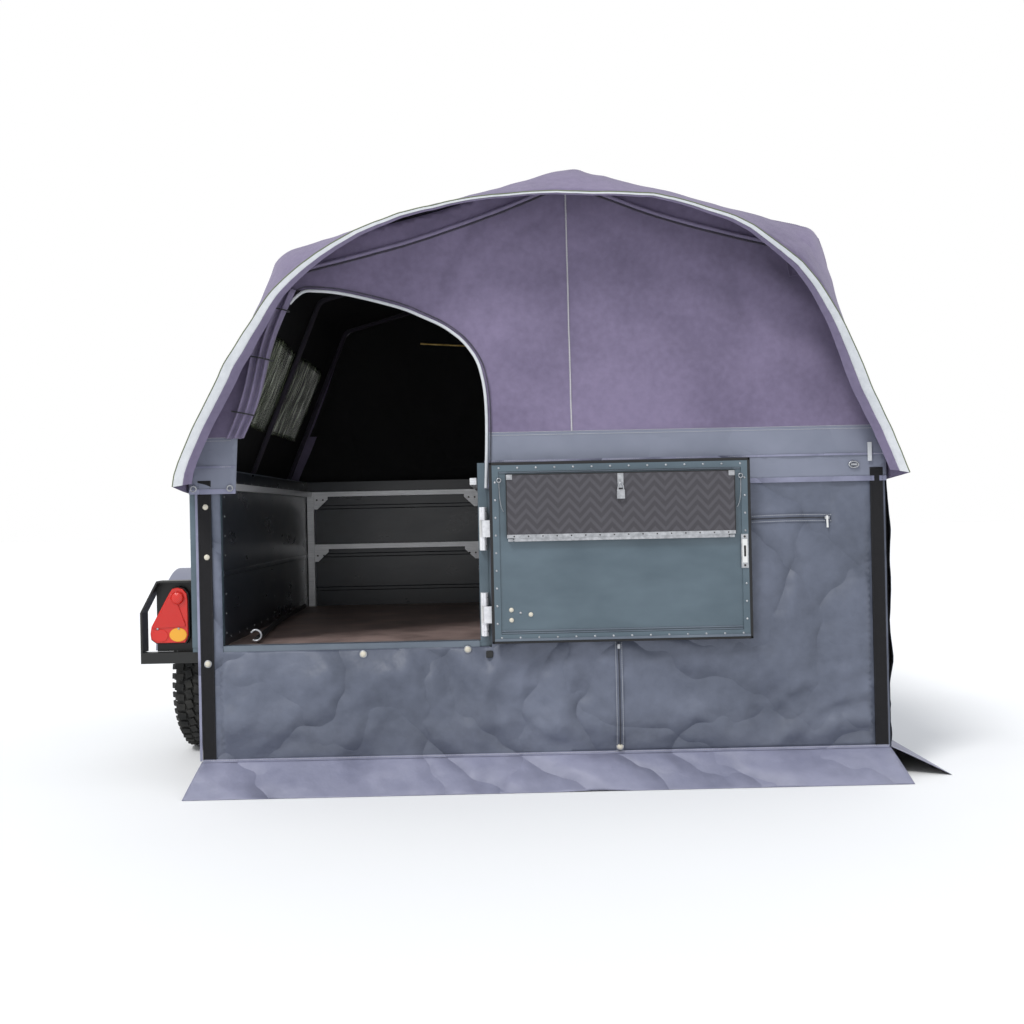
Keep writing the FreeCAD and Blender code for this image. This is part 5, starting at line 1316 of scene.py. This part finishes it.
def make_box_details():
    inner = -HALF_OPENING
    out = (1, 0, 0)
    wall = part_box("box_wall_left")
    face = wall[1][0] - 0.0048
    rivets = [(Vector((face, REAR_Y + y, z)), out, (0, 1, 0)) for y in (0.075, 1.07,
                                                                        2.03) for z in np.linspace(0.62, 1.17, 8)]
    rivets += [(Vector((face, REAR_Y + y, z)), out, (0, 1, 0)) for y in np.linspace(0.15, 1.95,
                                                                                    13) for z in (0.60, 1.235)]
    repeat("left_wall_rivets", dome(0.0045, 0.0024, 10), rivets, "zinc", "trailer", "galvanised")
    blocks("wall_top_capping", [(at(-HALF_BOX + 0.004, 0.042, WALL_TOP - 0.004),
                                 at(inner + 0.002, FRONT_Y - 0.1, WALL_TOP + 0.0002))],
           "frame", "trailer", "box_coat")
    blocks("wheel_side_ribs", [(at(-HALF_BOX - 0.003, y, 0.60),
                                at(-HALF_BOX + 0.004, y + 0.045, 1.17)) for y in (0.30, 0.52, 1.45, 1.7, 1.95)],
           "box", "trailer", "box_coat", 0.0025)
    blocks("rear_post_edges", [(at(-HALF_BOX - 0.001, -0.003, FLOOR_TOP),
                                at(-HALF_BOX + 0.028, 0.001, WALL_TOP - 0.01)),
                               (at(0.52, -0.002, FLOOR_TOP + 0.002), at(0.552, 0.001, WALL_TOP - 0.002))],
           "box", "trailer", "box_coat", 0.001)
    blocks("sill_trim", [(at(-HALF_OPENING + 0.004, -0.006, FLOOR_TOP - 0.022),
                          at(HALF_OPENING - 0.004, -0.002, FLOOR_TOP + 0.004)),
                         (at(-HALF_OPENING + 0.004, -0.004, FLOOR_TOP + 0.0005),
                          at(HALF_OPENING - 0.004, 0.05, FLOOR_TOP + 0.0035))],
           "frame", "trailer", "box_coat", 0.001)
    strut = [at(-0.40, 0.10, FLOOR_TOP + 0.018), at(-0.46, 0.9, FLOOR_TOP + 0.024), at(-0.475, 1.7, FLOOR_TOP + 0.03)]
    rod("floor_side_strut", strut, 0.011, "rubber", "trailer", "galvanised")
    hook = [at(-0.40 + 0.022 * math.cos(a), 0.085, FLOOR_TOP + 0.036 + 0.022 * math.sin(a))
            for a in np.linspace(-2.2, 2.6, 18)]
    rod("floor_hook", hook, 0.0045, "zinc", "trailer", "galvanised")
    rod("inner_rod", [at(0.17, 1.93, 2.05), at(0.95, 1.95, 2.00)], 0.006, "brass", "trailer", "profile")
    gusset_screws = []
    for z in (1.18, 0.86):
        gusset_screws += [(at(x, FRONT_Y - 0.1 - 0.036, z), (0, -1, 0), (1, 0, 0)) for x in (-0.455, -0.42, 0.42,
                                                                                             0.455)]
    repeat("gusset_screws", dome(0.005, 0.003, 12), gusset_screws, "iron", "trailer", "galvanised")
    under = at(0.55, -0.03, 0.522)
    blocks("skirt_anchor", [(under - Vector((0.014, 0.006, 0.014)), under + Vector((0.014, 0.010, 0.014)))], "black",
           "trailer", "rubber", 0.004)


# ---------------------------------------------------------------- lamps and tow gear


def make_lamp(side):
    name = "left" if side < 0 else "right"
    low, high = (Vector(c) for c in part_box(f"tail_lamp_{name}"))
    width, height = high.x - low.x, high.z - low.z

    def spot(u, v, depth=0.0):
        x = high.x - u * width if side < 0 else low.x + u * width
        return Vector((x, low.y + depth, low.z + v * height))
    shape = [(0.0, 0.12), (0.08, 0.0), (0.84, 0.0), (0.98, 0.07), (1.0, 0.18), (0.97, 0.30), (0.50, 0.88),
             (0.40, 0.98),
             (0.26, 1.0), (0.12, 0.97), (0.02, 0.88), (0.0, 0.76)]

    def oval(u, v, wide, tall):
        turns = np.linspace(0, math.tau, 28, endpoint=False)
        return [(u + wide * math.cos(a), v + tall * math.sin(a)) for a in turns]

    def shell(label, outline, depth, thick, paint, slot, edge=0.004):
        work = bmesh.new()
        face = work.faces.new([work.verts.new(spot(u, v, depth)) for u, v in outline])
        made = bmesh.ops.extrude_face_region(work, geom=[face])
        moved = [g for g in made["geom"] if isinstance(g, bmesh.types.BMVert)]
        bmesh.ops.translate(work, verts=moved, vec=(0, thick, 0))
        bmesh.ops.bevel(work, geom=list(work.edges), offset=edge, segments=3, affect="EDGES", profile=0.6)
        return from_bmesh(f"{label}_{name}", work, paint, "trailer", slot, False)
    back = shell("lamp_housing", shape, 0.014, 0.026, "black", "rubber")
    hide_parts(f"tail_lamp_{name}")
    inset = [(0.5 + (u - 0.5) * 0.95, 0.5 + (v - 0.5) * 0.96) for u, v in shape]
    shell("lamp_lens", [p for p in inset], 0.002, 0.018, "red", "lamp")
    triangle = [(0.10, 0.30), (0.92, 0.28), (0.44, 0.88), (0.36, 0.88), (0.08, 0.34)]
    shell("lamp_reflector", triangle, -0.003, 0.008, "reflector", "lamp", 0.002)
    shell("lamp_indicator", oval(0.27, 0.16, 0.22, 0.12), -0.002, 0.008, "amber", "lamp", 0.003)
    shell("lamp_brake", oval(0.72, 0.15, 0.2, 0.11), -0.002, 0.008, "red", "lamp", 0.003)
    centre = spot(0.27, 0.80, -0.001)
    work = bmesh.new()
    rows = []
    for radius, out in ((0.026, 0.0), (0.025, -0.006), (0.017, -0.011), (0.006, -0.013)):
        rows.append([work.verts.new(centre + Vector((radius * math.cos(math.tau * k / 28), out,
                                                     radius * math.sin(math.tau * k / 28)))) for k in range(28)])
    for first, second in zip(rows, rows[1:]):
        for k in range(28):
            work.faces.new((first[k], first[(k + 1) % 28], second[(k + 1) % 28], second[k]))
    work.faces.new(rows[-1])
    work.faces.new(rows[0][::-1])
    from_bmesh(f"lamp_round_{name}", work, "red", "trailer", "lamp")
    screws = [(spot(0.25, 0.27, -0.003), (0, -1, 0), (1, 0, 0)), (spot(0.78, 0.27, -0.003), (0, -1, 0), (1, 0, 0))]
    repeat(f"lamp_screws_{name}", dome(0.0045, 0.003, 12), screws, "zinc", "trailer", "galvanised")


def make_tow_gear():
    low, high = (Vector(c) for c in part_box("handbrake_lever"))
    grip = [Vector(((low.x + high.x) / 2, low.y - 0.002 + y, high.z - 0.011)) for y in (0.0, 0.05, 0.11)]
    rod("handbrake_grip", grip, 0.015, "rubber", "trailer", "rubber")
    low, high = (Vector(c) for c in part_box("jockey_tube"))
    knob = [Vector(((low.x + high.x) / 2, low.y + 0.009, z)) for z in (high.z - 0.075, high.z - 0.04, high.z + 0.002)]
    rod("crank_grip", knob, 0.013, "rubber", "trailer", "rubber")
    low, high = (Vector(c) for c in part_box("jockey_clamp"))
    middle = (low + high) / 2
    heads = [(Vector((middle.x + dx, middle.y + dy, low.z + 0.008)), (0, 0, 1),
              (1, 0, 0)) for dx in (-0.165, 0.165) for dy in (-0.03, 0.03)]
    repeat("jockey_clamp_bolts", dome(0.010, 0.009, 6), heads, "zinc", "trailer", "galvanised", smooth=False)
    rod("jockey_clamp_handle", [Vector((middle.x + 0.03, middle.y, low.z + 0.045)),
                                Vector((middle.x + 0.085, middle.y - 0.01, low.z + 0.05)),
                                Vector((middle.x + 0.12, middle.y - 0.03, low.z + 0.06))], 0.006, "zinc", "trailer",
                                "galvanised")
    low, high = (Vector(c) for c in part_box("drawbar_nose_plate"))
    heads = [(Vector((x, y, high.z)), (0, 0, 1), (1, 0, 0)) for x in (low.x + 0.025,
                                                                      high.x - 0.025) for y in (low.y + 0.03,
                                                                                                high.y - 0.03)]
    repeat("nose_plate_bolts", dome(0.011, 0.010, 6), heads, "zinc", "trailer", "galvanised", smooth=False)


FINISHES = {
    "aluminium": ("inner_frame",), "silver": ("door_hinge_brackets", "door_hinge_straps"),
    # the bows take the dark painted crease-shadow tone
    "crease": ("tent_bow_rear", "tent_bow_middle", "tent_bow_front"),
    "black": ("axle_beam", "chassis_cross_members", "chassis_rail_left", "chassis_rail_right", "drawbar_left",
              "drawbar_right", "drawbar_nose_plate", "lamp_guard_left", "lamp_guard_right", "rear_light_beam",
              "suspension_arms"),
    "zinc": ("bed_leg_brackets", "bed_leg_front", "bed_leg_rear", "coupling_head",
             "door_latch", "door_table_brackets", "door_table_rail", "handbrake_lever",
             "jockey_clamp", "jockey_fork", "jockey_leg", "jockey_tube", "rear_steady_brackets", "rear_steady_left",
             "rear_steady_right"),
    "box": ("bed_base", "rear_door", "rear_posts", "rear_sill"),
    "box dark": ("box_wall_front", "box_wall_left", "box_wall_right"),
    "plywood": ("box_floor",), "table": ("door_table",), "rubber": ("jockey_wheel",),
    "mudguard": ("mudguard_left", "mudguard_right"), "rim": ("wheel_rim_left", "wheel_rim_right"),
}


def finish_nodes():
    for paint, names in FINISHES.items():
        for name in names:
            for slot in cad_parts[name].material_slots:
                slot.material = PAINTS[paint]


# ---------------------------------------------------------------- stage


def make_stage(look):
    floor_mesh = bpy.data.meshes.new("floor")
    reach = 60
    floor_mesh.from_pydata([(-reach, -reach, 0), (reach, -reach, 0), (reach, reach, 0), (-reach, reach, 0)], [],
                           [(0, 1, 2, 3)])
    floor = bpy.data.objects.new("floor", floor_mesh)
    bpy.context.collection.objects.link(floor)
    paint = Paint("Pale floor", Roughness=0.9)
    grain = paint.noise(0.8, 3)
    paint.set("Base Color", between(paint, grain, (244, 244, 244), (248, 248, 248)))
    floor_mesh.materials.append(paint.material)
    world = bpy.data.worlds.new("Soft sky")
    bpy.context.scene.world = world
    world.use_nodes = True
    tree = world.node_tree
    tree.nodes.clear()
    rays = tree.nodes.new("ShaderNodeLightPath")
    plain, bright = tree.nodes.new("ShaderNodeBackground"), tree.nodes.new("ShaderNodeBackground")
    plain.inputs["Color"].default_value = (0.93, 0.96, 1, 1)
    plain.inputs["Strength"].default_value = look.sky
    bright.inputs["Color"].default_value = (1, 1, 1, 1)
    bright.inputs["Strength"].default_value = 1
    first, second = tree.nodes.new("ShaderNodeMath"), tree.nodes.new("ShaderNodeMath")
    for made in (first, second):
        made.operation = "MAXIMUM"
    blend, output = tree.nodes.new("ShaderNodeMixShader"), tree.nodes.new("ShaderNodeOutputWorld")
    for a, b in ((rays.outputs["Is Camera Ray"], first.inputs[0]), (rays.outputs["Is Glossy Ray"], first.inputs[1]),
                 (first.outputs[0], second.inputs[0]), (rays.outputs["Is Transmission Ray"], second.inputs[1]),
                 (second.outputs[0], blend.inputs[0]), (plain.outputs[0], blend.inputs[1]),
                 (bright.outputs[0], blend.inputs[2]), (blend.outputs[0], output.inputs[0])):
        tree.links.new(a, b)
    sun_data = bpy.data.lights.new("Soft sun", "SUN")
    sun_data.energy, sun_data.angle = look.sun, math.radians(14)
    sun = bpy.data.objects.new("Soft sun", sun_data)
    sun.rotation_euler = (math.radians(38), 0, math.radians(-38))
    bpy.context.collection.objects.link(sun)
    lens = bpy.data.cameras.new("View")
    lens.lens, lens.sensor_width = look.lens, 36
    lens.clip_end = 200
    camera = bpy.data.objects.new("View", lens)
    aim = Matrix.Rotation(math.radians(-0.49), 4, "Z") @ Matrix.Rotation(math.radians(90.09), 4, "X")
    camera.matrix_world = Matrix.Translation(at(0.611, -4.67, 1.078)) @ aim @ Matrix.Rotation(math.radians(-1.2), 4,
                                                                                              "Z")
    bpy.context.collection.objects.link(camera)
    scene = bpy.context.scene
    scene.camera = camera
    scene.view_settings.view_transform = "Standard"


# ---------------------------------------------------------------- the add-on


class TrailerTentLook(bpy.types.PropertyGroup):
    """What a user may change about the picture."""
    lens: bpy.props.FloatProperty(name="Lens", description="Focal length of the view", default=41.03, unit="CAMERA")
    sky: bpy.props.FloatProperty(name="Sky", description="Strength of the soft light from all round", default=0.86)
    sun: bpy.props.FloatProperty(name="Sun", description="Strength of the soft sun", default=1.5)


def operator(label, words, *jobs):
    """An operator that runs jobs in order."""
    def execute(self, context):
        for job in jobs:
            job()
        return {"FINISHED"}
    name = "TENT_OT_" + label
    return type(name, (bpy.types.Operator,), {"__doc__": words, "bl_idname": "tent." + label,
                                              "bl_label": words.split(",")[0], "execute": execute})


class TENT_OT_stage(bpy.types.Operator):
    """The floor, the light and the camera"""
    bl_idname = "tent.stage"
    bl_label = "Stage"

    def execute(self, context):
        make_stage(context.scene.tent_look)
        return {"FINISHED"}


OPERATORS = [
    TENT_OT_stage,
    operator("paints", "Materials, one for each finish", mix_paints),
    operator("nodes", "Finishes of the solid pieces", finish_nodes),
    operator("roof", "Roof, with its free edge and seams", make_roof),
    operator("windows", "Window film, with its welts", make_windows),
    operator("rear_wall", "Rear wall, with its doorway and band", make_rear_wall),
    operator("front_wall", "Front wall", make_front_wall),
    operator("skirts", "Skirts, with mud flaps and tapes", make_skirts),
    operator("skirt_fittings", "Zips and snaps of the skirts", make_skirt_fittings),
    operator("mattress", "Mattress", make_mattress),
    operator("wheels", "Tyres and wheel nuts", lambda: [make_wheel(side) for side in (-1, 1)]),
    operator("door", "Rear door, with its seal and rivets", make_door, make_hinges),
    operator("table", "Table on the door, with its lanyards", make_table),
    operator("box_details", "Small parts of the box", make_box_details),
    operator("lamps", "Tail lamps", lambda: [make_lamp(side) for side in (-1, 1)]),
    operator("tow_gear", "Grips and bolts of the drawbar", make_tow_gear),
]


class TENT_PT_panel(bpy.types.Panel):
    """Lists what the add-on makes."""
    bl_idname = "TENT_PT_panel"
    bl_label = "Trailer tent"
    bl_space_type = "VIEW_3D"
    bl_region_type = "UI"
    bl_category = "Trailer tent"

    def draw(self, context):
        for name in ("lens", "sky", "sun"):
            self.layout.prop(context.scene.tent_look, name)
        for made in OPERATORS:
            self.layout.operator(made.bl_idname)


CLASSES = [TrailerTentLook, *OPERATORS, TENT_PT_panel]


def register():
    for made in CLASSES:
        bpy.utils.register_class(made)
    bpy.types.Scene.tent_look = bpy.props.PointerProperty(type=TrailerTentLook)


def unregister():
    del bpy.types.Scene.tent_look
    for made in reversed(CLASSES):
        bpy.utils.unregister_class(made)


def main():
    register()
    for made in OPERATORS:
        getattr(bpy.ops.tent, made.bl_idname.split(".")[1])()
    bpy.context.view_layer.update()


if __name__ == "__main__":
    main()
